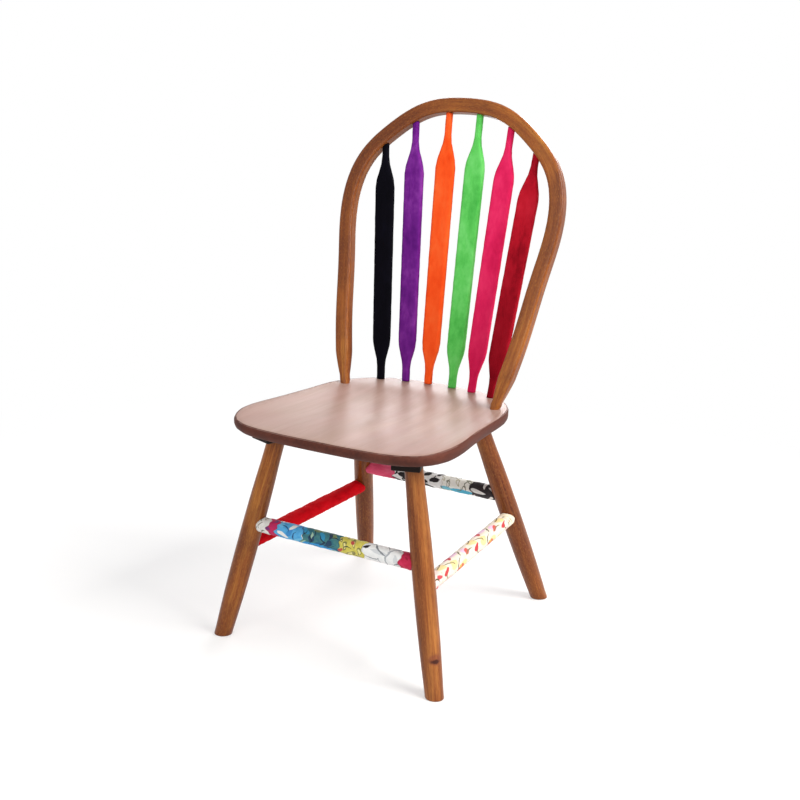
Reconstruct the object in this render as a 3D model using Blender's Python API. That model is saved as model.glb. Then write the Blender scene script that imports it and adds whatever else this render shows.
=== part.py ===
"""Hoop-back Windsor side chair with six cloth-covered slats and four cloth-wrapped stretchers.

Metres, +Z up, the front of the chair towards -Y, the floor at z = 0.
Left and right are as seen from the front.
"""

from math import cos, pi, radians, sin, sqrt

import bmesh
import bpy
import numpy as np
from mathutils import Matrix, Vector

# Gap left between two pieces that touch, the little more that keeps facets apart, and a tenon's eased tip
CLEAR = 0.0003
FACET_SPARE = 0.0001
TIP_EASE = 0.0010
# How far a cutter runs past the face that it opens
CUT_PAST = 0.0160

# Seat board: outline, thickness and the hollow of the saddle
SEAT_TOP = 0.4375
SEAT_THICK = 0.0285
SEAT_HALF_WIDTH = 0.2175
SEAT_FRONT = 0.240
SEAT_BACK = 0.247
SEAT_TOP_ROUND = 0.0060
SEAT_UNDER_ROUND = 0.0165
SADDLE_DEPTH = 0.0075
SADDLE_RUN = 0.110
POMMEL_WIDTH = 0.040
GUTTER_DEPTH = 0.0045
GUTTER_RUN = 0.012
FRONT_DROP = 0.0060
DECK_DEPTH = 0.084
DECK_SWEEP = 0.090
SEAT_AROUND = 66
# Fractions of the half width and of the front or back depth, round the right side from the front
SEAT_SHAPE = (
    (0.0, -1.0),
    (0.466, -0.985),
    (0.723, -0.942),
    (0.895, -0.833),
    (0.985, -0.667),
    (1.0, -0.458),
    (0.960, -0.167),
    (0.930, 0.127),
    (0.912, 0.360),
    (0.884, 0.522),
    (0.820, 0.660),
    (0.715, 0.788),
    (0.595, 0.888),
    (0.360, 0.966),
    (0.0, 1.0),
)

# Bow: one bent stick in a plane that leans back from the seat
BOW_FLARE = 0.0053
BOW_RISE = 0.5650
BOW_LEAN = radians(15.1)
BOW_SETBACK = 0.1176
BOW_WIDE = 0.0282
BOW_DEEP = 0.0246
BOW_EASE = 0.0040
BOW_FOOT_RADIUS = 0.0080
BOW_FOOT_STRAIGHT = 0.004
BOW_FOOT_TAPER = 0.060
BOW_TENON = 0.0180
# Fractions of the half width and of the rise, from the foot to the crown
BOW_SHAPE = (
    (0.739, 0.0),
    (0.8615, 0.2262),
    (0.937, 0.4377),
    (1.0, 0.6492),
    (0.909, 0.7978),
    (0.6547, 0.9076),
    (0.3504, 0.9831),
    (0.0, 1.0),
)

# Slats: fractions of the bow's half width at the seat and at the bow, from the middle outwards
SLAT_FOOT = (0.121, 0.332, 0.553)
SLAT_HEAD = (0.148, 0.460, 0.727)
SLAT_FROM_BACK = 0.0215
SLAT_SWEEP = 0.078
SLAT_WIDE_HEAD = 0.0392
SLAT_WIDE_FOOT = 0.0356
SLAT_WIDE_NECK_HEAD = 0.0108
SLAT_WIDE_NECK_FOOT = 0.0136
SLAT_THICK = 0.0112
SLAT_EASE = 0.0036
SLAT_NECK_FOOT = 0.026
SLAT_FLARE_FOOT = 0.056
SLAT_FLARE_HEAD = 0.062
SLAT_NECK_HEAD = (0.042, 0.036, 0.021)
SLAT_TENON = 0.0120
SLEEVE_THICK = 0.0012
SLAT_TENON_SHOULDER = 0.0004

# Legs: the heads' axes are set in from the seat's side and end, and the feet splay out from the heads
FRONT_HEAD_INSET = (0.0775, 0.0994)
REAR_HEAD_INSET = (0.0862, 0.1061)
FRONT_SPLAY = (0.0858, 0.0455)
REAR_SPLAY = (0.0780, 0.1751)
LEG_RADIUS = 0.0197
LEG_AROUND = 20
# Height as a fraction of the way up to the block, and radius as a fraction of the thickest
LEG_SHAPE = (
    (-0.07, 0.755),
    (0.07, 0.875),
    (0.14, 0.925),
    (0.21, 0.965),
    (0.30, 0.99),
    (0.42, 1.0),
    (0.55, 0.995),
    (0.68, 0.965),
    (0.78, 0.915),
    (0.88, 0.84),
    (1.0, 0.80),
)
LEG_TENON_RADIUS = 0.0125
LEG_TENON = 0.0130
SOLE_EASE = 0.0014

# Blocks screwed under the seat round the leg heads
BLOCK_THICK = 0.0168
BLOCK_WIDE = 0.0500
FRONT_BLOCK_LONG = 0.0960
REAR_BLOCK_LONG = 0.0800
BLOCK_INBOARD = 0.0060
BLOCK_TURN = radians(20.0)
BLOCK_EASE = 0.0015
SCREW_FROM_END = 0.0110
SCREW_RADIUS = 0.0020
SCREW_HEAD_RADIUS = 0.0040
SCREW_HEAD_DEEP = 0.0026
SCREW_LENGTH = 0.0300
SCREW_SUNK = 0.0002
SCREW_RIM = 0.0005
SCREW_POINT = 0.0040
SCREW_TIP_RADIUS = 0.0004
RECESS_HALF_WIDTH = 0.0005
RECESS_DEEP = 0.0013

# Stretchers: heights where they meet the leg axes
FRONT_RAIL_HEIGHT = 0.2249
SIDE_RAIL_FRONT_HEIGHT = 0.1849
SIDE_RAIL_REAR_HEIGHT = 0.1960
BACK_RAIL_HEIGHT = 0.2443
RAIL_RADIUS = 0.0130
RAIL_TENON_RADIUS = 0.0075
RAIL_TENON = 0.0130
RAIL_AROUND = 16
WRAP_THICK = 0.0019
WRAP_SEAM = 0.0007
WRAP_SOFT_END = 0.0040
# Ends of the cloth pieces, as fractions of the length between the legs
FRONT_WRAPS = (0.0, 0.065, 0.125, 0.305, 0.545, 0.710, 0.945, 1.0)
BACK_WRAPS = (0.0, 0.22, 0.60, 0.84, 1.0)
RIGHT_WRAPS = (0.0, 0.075, 0.925, 1.0)
LEFT_WRAPS = (0.0, 1.0)

WOOD = (0.33, 0.145, 0.052, 1.0)
SEAT_WOOD = (0.40, 0.27, 0.20, 1.0)
BLOCK_WOOD = (0.16, 0.075, 0.04, 1.0)
HIDDEN_WOOD = (0.62, 0.44, 0.26, 1.0)
STEEL = (0.55, 0.55, 0.56, 1.0)
SLAT_COLOURS = (
    ("black", (0.008, 0.007, 0.016, 1.0)),
    ("purple", (0.13, 0.02, 0.24, 1.0)),
    ("orange", (0.93, 0.12, 0.02, 1.0)),
    ("green", (0.13, 0.66, 0.13, 1.0)),
    ("pink", (0.80, 0.02, 0.12, 1.0)),
    ("crimson", (0.33, 0.005, 0.02, 1.0)),
)
FRONT_CLOTHS = (
    ("white_print", (0.80, 0.78, 0.76, 1.0)),
    ("magenta", (0.62, 0.03, 0.22, 1.0)),
    ("sky_print", (0.04, 0.35, 0.75, 1.0)),
    ("teal_print", (0.03, 0.22, 0.34, 1.0)),
    ("yellow_floral", (0.62, 0.50, 0.12, 1.0)),
    ("leaf_print", (0.72, 0.73, 0.70, 1.0)),
    ("red_end", (0.62, 0.03, 0.03, 1.0)),
)
BACK_CLOTHS = (
    ("rose", (0.76, 0.09, 0.20, 1.0)),
    ("black_white", (0.20, 0.18, 0.18, 1.0)),
    ("cream_teal", (0.70, 0.72, 0.62, 1.0)),
    ("dark_petal", (0.05, 0.045, 0.05, 1.0)),
)
RIGHT_CLOTHS = (
    ("pink_end", (0.74, 0.25, 0.33, 1.0)),
    ("cream_floral", (0.78, 0.72, 0.62, 1.0)),
    ("cream_end", (0.80, 0.70, 0.45, 1.0)),
)
LEFT_CLOTHS = (("red_velvet", (0.72, 0.01, 0.02, 1.0)),)

for old in list(bpy.data.objects):
    bpy.data.objects.remove(old, do_unlink=True)

scene = bpy.context.scene
parts = bpy.data.collections.new("windsor_chair")
cutters = bpy.data.collections.new("cutters")
cutters.hide_render = True
scene.collection.children.link(parts)
scene.collection.children.link(cutters)


# Shared shapes


def material(name, colour, roughness=0.45, metallic=0.0):
    made = bpy.data.materials.new(name)
    made.use_nodes = True
    shader = made.node_tree.nodes["Principled BSDF"]
    shader.inputs["Base Color"].default_value = colour
    shader.inputs["Roughness"].default_value = roughness
    shader.inputs["Metallic"].default_value = metallic
    made.diffuse_color = colour
    return made


def place(name, bm, coat=None, home=parts):
    bmesh.ops.recalc_face_normals(bm, faces=bm.faces)
    mesh = bpy.data.meshes.new(name)
    bm.to_mesh(mesh)
    bm.free()
    for face in mesh.polygons:
        face.use_smooth = True
    mesh.set_sharp_from_angle(angle=radians(38.0))
    made = bpy.data.objects.new(name, mesh)
    if coat:
        mesh.materials.append(coat)
    home.objects.link(made)
    if home is cutters:
        made.display_type = "WIRE"
        made.hide_render = True
    return made


def section(half_a, half_b, ease, per_corner):
    """Points round a rectangle with eased corners; a circle when both halves equal the ease."""
    points = []
    for quarter in range(4):
        sign_a = 1.0 if quarter in (0, 3) else -1.0
        sign_b = 1.0 if quarter in (0, 1) else -1.0
        for step in range(per_corner):
            angle = (quarter + (step + 0.5) / per_corner) * pi / 2.0
            points.append(
                (sign_a * (half_a - ease) + ease * cos(angle), sign_b * (half_b - ease) + ease * sin(angle))
            )
    return points


def ring(centre, side, depth, points):
    return [centre + side * a + depth * b for a, b in points]


def circle(centre, axis, radius, around):
    side = axis.cross(Vector((0.0, 1.0, 0.0)))
    if side.length < 0.1:
        side = axis.cross(Vector((1.0, 0.0, 0.0)))
    side.normalize()
    depth = axis.cross(side).normalized()
    turns = [2.0 * pi * (k + 0.5) / around for k in range(around)]
    return [centre + side * (radius * cos(t)) + depth * (radius * sin(t)) for t in turns]


def skin(bm, rings):
    """Joins each ring of points to the next with quads and returns the rings as vertices."""
    made = [[bm.verts.new(point) for point in one] for one in rings]
    for low, high in zip(made[:-1], made[1:]):
        count = len(low)
        for k in range(count):
            bm.faces.new((low[k], low[(k + 1) % count], high[(k + 1) % count], high[k]))
    return made


def loft(rings):
    bm = bmesh.new()
    made = skin(bm, rings)
    bm.faces.new(made[0])
    bm.faces.new(made[-1])
    return bm


def sleeve(outer, inner):
    """A closed tube wall between an outer and an inner run of rings."""
    bm = bmesh.new()
    out = skin(bm, outer)
    inn = skin(bm, inner)
    for end in (0, -1):
        count = len(out[end])
        for k in range(count):
            nxt = (k + 1) % count
            bm.faces.new((out[end][k], out[end][nxt], inn[end][nxt], inn[end][k]))
    return bm


def rod(name, start, end, start_radius, end_radius, around=16, home=cutters):
    axis = (end - start).normalized()
    rings = [circle(start, axis, start_radius, around), circle(end, axis, end_radius, around)]
    return place(name, loft(rings), home=home)


def cut(target, tools, label):
    """Takes a set of cutters away from a piece."""
    group = bpy.data.collections.new(label)
    cutters.children.link(group)
    for tool in tools:
        group.objects.link(tool)
        cutters.objects.unlink(tool)
    take = target.modifiers.new(label, "BOOLEAN")
    take.operation = "DIFFERENCE"
    take.solver = "EXACT"
    take.operand_type = "COLLECTION"
    take.collection = group


def smooth_start(value):
    """Rises from 0 to 1, quickly at first."""
    value = min(max(value, 0.0), 1.0)
    return value * (1.4 - 0.4 * value)


def smooth(value):
    value = min(max(value, 0.0), 1.0)
    return value * value * (3.0 - 2.0 * value)


def spline(points, clamp_end):
    """Cubic curve through plane points, free at the start and with a set direction at the end."""
    knots = np.array(points, float)
    steps = np.linalg.norm(np.diff(knots, axis=0), axis=1)
    along = np.concatenate([[0.0], np.cumsum(steps)])
    count = len(knots)
    system = np.zeros((count, count))
    right = np.zeros((count, 2))
    system[0, 0] = 1.0
    for k in range(1, count - 1):
        before, after = steps[k - 1], steps[k]
        system[k, k - 1] = before
        system[k, k] = 2.0 * (before + after)
        system[k, k + 1] = after
        right[k] = 6.0 * ((knots[k + 1] - knots[k]) / after - (knots[k] - knots[k - 1]) / before)
    last = steps[-1]
    system[-1, -2] = last
    system[-1, -1] = 2.0 * last
    right[-1] = 6.0 * (np.array(clamp_end) - (knots[-1] - knots[-2]) / last)
    bend = np.linalg.solve(system, right)

    def at(distance):
        k = int(np.clip(np.searchsorted(along, distance, side="right") - 1, 0, count - 2))
        h = steps[k]
        a = (along[k + 1] - distance) / h
        b = (distance - along[k]) / h
        point = a * knots[k] + b * knots[k + 1]
        point = point + ((a**3 - a) * bend[k] + (b**3 - b) * bend[k + 1]) * h * h / 6.0
        slope = (knots[k + 1] - knots[k]) / h
        slope = slope + (-(3 * a * a - 1) * bend[k] + (3 * b * b - 1) * bend[k + 1]) * h / 6.0
        return point, slope / np.linalg.norm(slope)

    return at, along[-1]


slat_tenon_radius = min(SLAT_THICK, SLAT_WIDE_NECK_HEAD, SLAT_WIDE_NECK_FOOT) / 2.0
slat_tenon_radius -= SLEEVE_THICK + CLEAR + SLAT_TENON_SHOULDER

wood = material("stained_wood", WOOD, 0.38)
seat_wood = material("seat_lacquered_wood", SEAT_WOOD, 0.22)
block_wood = material("block_wood", BLOCK_WOOD, 0.6)
hidden_wood = material("plain_wood", HIDDEN_WOOD, 0.6)
steel = material("zinc_steel", STEEL, 0.35, 1.0)

# Leg axes


SEAT_UNDER = SEAT_TOP - SEAT_THICK
BLOCK_TOP = SEAT_UNDER - CLEAR
BLOCK_UNDER = BLOCK_TOP - BLOCK_THICK


class Leg:
    def __init__(self, name, head, splay, side):
        self.name = name
        self.side = side
        self.head = Vector((side * head[0], head[1], BLOCK_UNDER))
        self.foot = Vector((side * (head[0] + splay[0]), head[1] + splay[1], 0.0))
        self.axis = (self.head - self.foot).normalized()

    def at(self, height):
        return self.foot + self.axis * (height / self.axis.z)

    def radius(self, height):
        way = height / BLOCK_UNDER
        heights = [h for h, _ in LEG_SHAPE]
        radii = [r for _, r in LEG_SHAPE]
        return LEG_RADIUS * float(np.interp(way, heights, radii))


front_head = (SEAT_HALF_WIDTH - FRONT_HEAD_INSET[0], FRONT_HEAD_INSET[1] - SEAT_FRONT)
rear_head = (SEAT_HALF_WIDTH - REAR_HEAD_INSET[0], SEAT_BACK - REAR_HEAD_INSET[1])
front_splay = (FRONT_SPLAY[0], -FRONT_SPLAY[1])
legs = {
    "front_left": Leg("leg_front_left", front_head, front_splay, -1.0),
    "front_right": Leg("leg_front_right", front_head, front_splay, 1.0),
    "rear_left": Leg("leg_rear_left", rear_head, REAR_SPLAY, -1.0),
    "rear_right": Leg("leg_rear_right", rear_head, REAR_SPLAY, 1.0),
}

# Bow


lean_up = Vector((0.0, sin(BOW_LEAN), cos(BOW_LEAN)))
lean_back = Vector((0.0, cos(BOW_LEAN), -sin(BOW_LEAN)))
bow_root = Vector((0.0, SEAT_BACK - BOW_SETBACK, SEAT_TOP))
bow_half_width = SEAT_HALF_WIDTH + BOW_FLARE
bow_at, bow_half = spline([(x * bow_half_width, v * BOW_RISE) for x, v in BOW_SHAPE], (-1.0, 0.0))


def on_bow(u, v, back=0.0):
    return bow_root + Vector((u, 0.0, 0.0)) + lean_up * v + lean_back * back


def bow_station(distance):
    """Centre, outward direction and running direction on the right half, as plane vectors."""
    if distance < 0.0:
        start, run = bow_at(0.0)
        return start + run * distance, np.array([run[1], -run[0]]), run
    point, run = bow_at(distance)
    return point, np.array([run[1], -run[0]]), run


def bow_section(distance):
    """Round at the foot, growing to the eased rectangle of the bow."""
    way = smooth_start((distance - BOW_FOOT_STRAIGHT) / BOW_FOOT_TAPER)
    half_a = BOW_FOOT_RADIUS + (BOW_WIDE / 2.0 - BOW_FOOT_RADIUS) * way
    half_b = BOW_FOOT_RADIUS + (BOW_DEEP / 2.0 - BOW_FOOT_RADIUS) * way
    ease = BOW_FOOT_RADIUS + (BOW_EASE - BOW_FOOT_RADIUS) * way
    return section(half_a, half_b, ease, 4)


full_from = BOW_FOOT_STRAIGHT + BOW_FOOT_TAPER
bow_stops = [-BOW_TENON, -BOW_TENON + TIP_EASE]
bow_stops += [BOW_FOOT_STRAIGHT + BOW_FOOT_TAPER * k / 6.0 for k in range(7)]
bow_stops += [full_from + (bow_half - full_from) * k / 19.0 for k in range(1, 20)]
bow_rings = []
inner_line = []
for stop in bow_stops:
    point, out, run = bow_station(stop)
    shape = bow_section(stop)
    if stop == -BOW_TENON:
        tip = BOW_FOOT_RADIUS - TIP_EASE
        shape = section(tip, tip, tip, 4)
    side = Vector((out[0], 0.0, 0.0)) + lean_up * out[1]
    bow_rings.append(ring(on_bow(point[0], point[1]), side, lean_back, shape))
    if stop >= full_from:
        inner_line.append(point - out * (BOW_WIDE / 2.0 + CLEAR))
mirrored = [[Vector((-p.x, p.y, p.z)) for p in one] for one in bow_rings[:-1]]
left_rings = [one[::-1] for one in mirrored]


def matched(reference, candidate):
    """Turns a ring of points so that its first point lies nearest to the reference ring's first point."""
    best = min(
        range(len(candidate)),
        key=lambda k: sum((candidate[(k + j) % len(candidate)] - reference[j]).length for j in (0, 4, 8, 12)),
    )
    return candidate[best:] + candidate[:best]


crown = bow_rings[-1]
chain = []
previous = crown
for one in reversed(left_rings):
    forward = matched(previous, one)
    backward = matched(previous, one[::-1])
    size_forward = sum((a - b).length for a, b in zip(previous, forward))
    size_backward = sum((a - b).length for a, b in zip(previous, backward))
    previous = forward if size_forward <= size_backward else backward
    chain.append(previous)
bow = place("bow", loft(bow_rings + chain), wood)

widest = max(range(len(inner_line)), key=lambda k: inner_line[k][0])
inner_u = np.array([p[0] for p in inner_line[widest:]])[::-1]
inner_v = np.array([p[1] for p in inner_line[widest:]])[::-1]


def bow_gap(point):
    """How far below the inside of the bow a point lies, measured up the bow's plane."""
    offset = point - bow_root
    return float(np.interp(abs(point.x), inner_u, inner_v)) - offset.dot(lean_up)


def slide_to_bow(point, axis):
    for _ in range(30):
        point = point + axis * (bow_gap(point) * 0.7)
    return point


def slide_to_level(point, axis, level):
    return point + axis * ((level - point.z) / axis.z)


# Slats and their sleeves


def slat_width(distance, shoulder):
    wide = SLAT_WIDE_FOOT + (SLAT_WIDE_HEAD - SLAT_WIDE_FOOT) * min(distance / shoulder, 1.0)
    low = smooth((distance - SLAT_NECK_FOOT) / SLAT_FLARE_FOOT)
    high = 1.0 - smooth((distance - shoulder) / SLAT_FLARE_HEAD)
    if low < 1.0:
        return SLAT_WIDE_NECK_FOOT + (wide - SLAT_WIDE_NECK_FOOT) * low
    return SLAT_WIDE_NECK_HEAD + (wide - SLAT_WIDE_NECK_HEAD) * high


def slat(number, side, index, colour_name, colour):
    foot_x = side * SLAT_FOOT[index] * bow_half_width
    foot_y = SEAT_BACK - SLAT_FROM_BACK - SLAT_SWEEP * (foot_x / SEAT_HALF_WIDTH) ** 2
    foot = Vector((foot_x, foot_y, SEAT_TOP + CLEAR))
    head_u = side * SLAT_HEAD[index] * bow_half_width
    head_v = float(np.interp(abs(head_u), inner_u, inner_v))
    head = on_bow(head_u, head_v)
    axis = (head - foot).normalized()
    length = (head - foot).length
    across = Vector((1.0, 0.0, 0.0))
    across = (across - axis * across.dot(axis)).normalized()
    through = axis.cross(across).normalized()
    shoulder = length - SLAT_NECK_HEAD[index] - SLAT_FLARE_HEAD
    stops = [0.0, SLAT_NECK_FOOT]
    stops += [SLAT_NECK_FOOT + SLAT_FLARE_FOOT * k / 4.0 for k in range(1, 5)]
    stops += [shoulder + SLAT_FLARE_HEAD * k / 4.0 for k in range(5)]
    stops.append(length)

    def rings(inset):
        made = []
        for stop in stops:
            half_w = slat_width(stop, shoulder) / 2.0 - inset
            half_t = SLAT_THICK / 2.0 - inset
            ease = min(SLAT_EASE, half_w, half_t)
            made.append(ring(foot + axis * stop, across, through, section(half_w, half_t, ease, 3)))
        made[0] = [slide_to_level(p, axis, SEAT_TOP + CLEAR) for p in made[0]]
        made[-1] = [slide_to_bow(p, axis) for p in made[-1]]
        return made

    outer = rings(0.0)
    lining = rings(SLEEVE_THICK)
    body = rings(SLEEVE_THICK + CLEAR)
    peg = section(slat_tenon_radius, slat_tenon_radius, slat_tenon_radius, 3)
    tip_radius = slat_tenon_radius - TIP_EASE
    tip = section(tip_radius, tip_radius, tip_radius, 3)
    low_neck = [slide_to_level(p, axis, SEAT_TOP + CLEAR) for p in ring(foot, across, through, peg)]
    high_neck = [slide_to_bow(p, axis) for p in ring(head, across, through, peg)]
    low_end = foot - axis * SLAT_TENON
    high_end = head + axis * SLAT_TENON
    core_rings = [
        ring(low_end, across, through, tip),
        ring(low_end + axis * TIP_EASE, across, through, peg),
        low_neck,
    ]
    core_rings += body
    core_rings += [
        high_neck,
        ring(high_end - axis * TIP_EASE, across, through, peg),
        ring(high_end, across, through, tip),
    ]
    place(f"slat_core_{number}", loft(core_rings), hidden_wood)
    velvet = material(f"velvet_{colour_name}", colour, 0.85)
    place(f"slat_sleeve_{colour_name}", sleeve(outer, lining), velvet)
    gap = CLEAR / cos(pi / 16.0) + FACET_SPARE
    low_hole = rod(
        f"cut_slat_foot_{number}",
        low_end - axis * CLEAR,
        foot + axis * CUT_PAST,
        slat_tenon_radius + gap,
        slat_tenon_radius + gap,
    )
    high_hole = rod(
        f"cut_slat_head_{number}",
        head - axis * CUT_PAST,
        high_end + axis * CLEAR,
        slat_tenon_radius + gap,
        slat_tenon_radius + gap,
    )
    return low_hole, high_hole


seat_cuts = []
bow_cuts = []
for number, (colour_name, colour) in enumerate(SLAT_COLOURS, start=1):
    side = -1.0 if number <= 3 else 1.0
    index = 3 - number if number <= 3 else number - 4
    low_hole, high_hole = slat(number, side, index, colour_name, colour)
    seat_cuts.append(low_hole)
    bow_cuts.append(high_hole)
cut(bow, bow_cuts, "slat_mortises")

for side, word in ((-1.0, "left"), (1.0, "right")):
    ends = []
    for distance in (-BOW_TENON - CLEAR, CUT_PAST):
        point = bow_station(0.0)[0] + bow_station(0.0)[2] * distance
        ends.append(on_bow(side * point[0], point[1]))
    hole = BOW_FOOT_RADIUS + CLEAR / cos(pi / 16.0) + FACET_SPARE
    seat_cuts.append(rod(f"cut_bow_foot_{word}", ends[0], ends[1], hole, hole, 16))

# Legs


def leg_rings(leg):
    """Rings up the leg, from below the floor to the top of the tenon."""
    rings = []
    for way, _ in LEG_SHAPE:
        height = way * BLOCK_UNDER
        rings.append(circle(leg.at(height), leg.axis, leg.radius(height), LEG_AROUND))
    level = SEAT_UNDER + LEG_TENON
    rings.append(circle(leg.at(level - TIP_EASE), leg.axis, LEG_TENON_RADIUS, LEG_AROUND))
    rings.append(circle(leg.at(level), leg.axis, LEG_TENON_RADIUS - TIP_EASE, LEG_AROUND))
    return rings


def make_leg(leg):
    bm = loft(leg_rings(leg))
    geometry = bm.verts[:] + bm.edges[:] + bm.faces[:]
    sliced = bmesh.ops.bisect_plane(
        bm, geom=geometry, plane_co=(0.0, 0.0, 0.0), plane_no=(0.0, 0.0, -1.0), clear_outer=True
    )
    rim = [e for e in sliced["geom_cut"] if isinstance(e, bmesh.types.BMEdge)]
    made = bmesh.ops.contextual_create(bm, geom=rim)
    sole = made["faces"]
    bmesh.ops.recalc_face_normals(bm, faces=bm.faces)
    edges = [e for face in sole for e in face.edges]
    bmesh.ops.bevel(bm, geom=edges, offset=SOLE_EASE, segments=1, affect="EDGES", profile=0.5)
    return place(leg.name, bm, wood)


def head_cutter(leg, name, low, high):
    """A tapered cutter that follows the leg's head with the fitting gap all round."""
    gap = CLEAR / cos(pi / LEG_AROUND) + FACET_SPARE
    slope_end = SEAT_UNDER + LEG_TENON - TIP_EASE
    neck = leg.radius(BLOCK_UNDER)
    rings = []
    for level in (low, BLOCK_UNDER, high) if low < BLOCK_UNDER else (low, high):
        way = (level - BLOCK_UNDER) / (slope_end - BLOCK_UNDER)
        radius = leg.radius(level)
        if level >= BLOCK_UNDER:
            radius = neck + (LEG_TENON_RADIUS - neck) * min(way, 1.0)
        rings.append(circle(leg.at(level), leg.axis, radius + gap, LEG_AROUND))
    return place(name, loft(rings), home=cutters)


leg_pieces = {}
for key, leg in legs.items():
    leg_pieces[key] = make_leg(leg)
    in_block = (BLOCK_UNDER + BLOCK_TOP) / 2.0
    over_tenon = SEAT_UNDER + LEG_TENON + CLEAR * 1.5
    seat_cuts.append(head_cutter(leg, f"cut_seat_{key}", in_block, over_tenon))

# Blocks and screws


def screw(name, x, y):
    base = BLOCK_UNDER
    rim = base + SCREW_SUNK + SCREW_RIM
    levels = (
        (base + SCREW_SUNK, SCREW_HEAD_RADIUS),
        (rim, SCREW_HEAD_RADIUS),
        (base + SCREW_HEAD_DEEP, SCREW_RADIUS),
        (base + SCREW_LENGTH - SCREW_POINT, SCREW_RADIUS),
        (base + SCREW_LENGTH, SCREW_TIP_RADIUS),
    )
    up = Vector((0.0, 0.0, 1.0))
    rings = [circle(Vector((x, y, z)), up, r, 12) for z, r in levels]
    made = place(name, loft(rings), steel)
    slot = bmesh.new()
    arm = SCREW_HEAD_RADIUS * 0.55
    half = RECESS_HALF_WIDTH
    corners = [
        (half, half),
        (arm, half),
        (arm, -half),
        (half, -half),
        (half, -arm),
        (-half, -arm),
        (-half, -half),
        (-arm, -half),
        (-arm, half),
        (-half, half),
        (-half, arm),
        (half, arm),
    ]
    low = [Vector((x + a, y + b, base - CUT_PAST)) for a, b in corners]
    high = [Vector((x + a, y + b, base + RECESS_DEEP)) for a, b in corners]
    made_slot = skin(slot, [low, high])
    slot.faces.new(made_slot[0])
    slot.faces.new(made_slot[1])
    cut(made, [place(f"cut_{name}", slot, home=cutters)], f"{name}_recess")
    hole = SCREW_RADIUS + CLEAR + FACET_SPARE
    head = SCREW_HEAD_RADIUS + CLEAR + FACET_SPARE
    spots = (
        (base - CUT_PAST, head),
        (rim + CLEAR * 0.5, head),
        (base + SCREW_HEAD_DEEP + CLEAR * 0.5, hole),
        (base + SCREW_LENGTH + CLEAR * 2.0, hole),
    )
    tools = []
    for word in ("block", "seat"):
        rings = [circle(Vector((x, y, z)), up, r, 12) for z, r in spots]
        if word == "seat":
            rings = [circle(Vector((x, y, (base + SEAT_UNDER) / 2.0)), up, hole, 12), rings[-1]]
        tools.append(place(f"cut_{name}_{word}", loft(rings), home=cutters))
    return tools


for key, leg in legs.items():
    front = key.startswith("front")
    long = FRONT_BLOCK_LONG if front else REAR_BLOCK_LONG
    turn = BLOCK_TURN * leg.side * (1.0 if front else -1.0)
    centre = leg.at((BLOCK_UNDER + BLOCK_TOP) / 2.0) - Vector((leg.side * BLOCK_INBOARD, 0.0, 0.0))
    bm = bmesh.new()
    bmesh.ops.create_cube(bm, size=1.0)
    bmesh.ops.scale(bm, vec=(BLOCK_WIDE, long, BLOCK_THICK), verts=bm.verts)
    bmesh.ops.bevel(bm, geom=bm.edges[:], offset=BLOCK_EASE, segments=1, affect="EDGES", profile=0.5)
    frame = Matrix.Translation(centre) @ Matrix.Rotation(turn, 4, "Z")
    bmesh.ops.transform(bm, matrix=frame, verts=bm.verts)
    block = place(f"block_{key}", bm, block_wood)
    tools = [head_cutter(leg, f"cut_block_{key}", BLOCK_UNDER - CUT_PAST, BLOCK_TOP + CUT_PAST)]
    reach = long / 2.0 - SCREW_FROM_END
    for end, word in ((-1.0, "a"), (1.0, "b")):
        spot = frame @ Vector((0.0, end * reach, 0.0))
        block_tool, seat_tool = screw(f"screw_{key}_{word}", spot.x, spot.y)
        tools.append(block_tool)
        seat_cuts.append(seat_tool)
    cut(block, tools, f"block_{key}_holes")

# Stretchers and their cloth


def leg_hit(point, direction, leg, gap):
    """First point where a line meets the leg's surface, with a gap left."""
    reach = 0.0
    level = point.z
    for _ in range(4):
        wide = leg.radius(level) + gap
        offset = point - leg.foot
        offset = offset - leg.axis * offset.dot(leg.axis)
        flat = direction - leg.axis * direction.dot(leg.axis)
        a = flat.dot(flat)
        b = 2.0 * offset.dot(flat)
        c = offset.dot(offset) - wide * wide
        reach = (-b - sqrt(b * b - 4.0 * a * c)) / (2.0 * a)
        level = (point + direction * reach).z
    return point + direction * reach


leg_cuts = {key: [] for key in legs}


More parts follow.
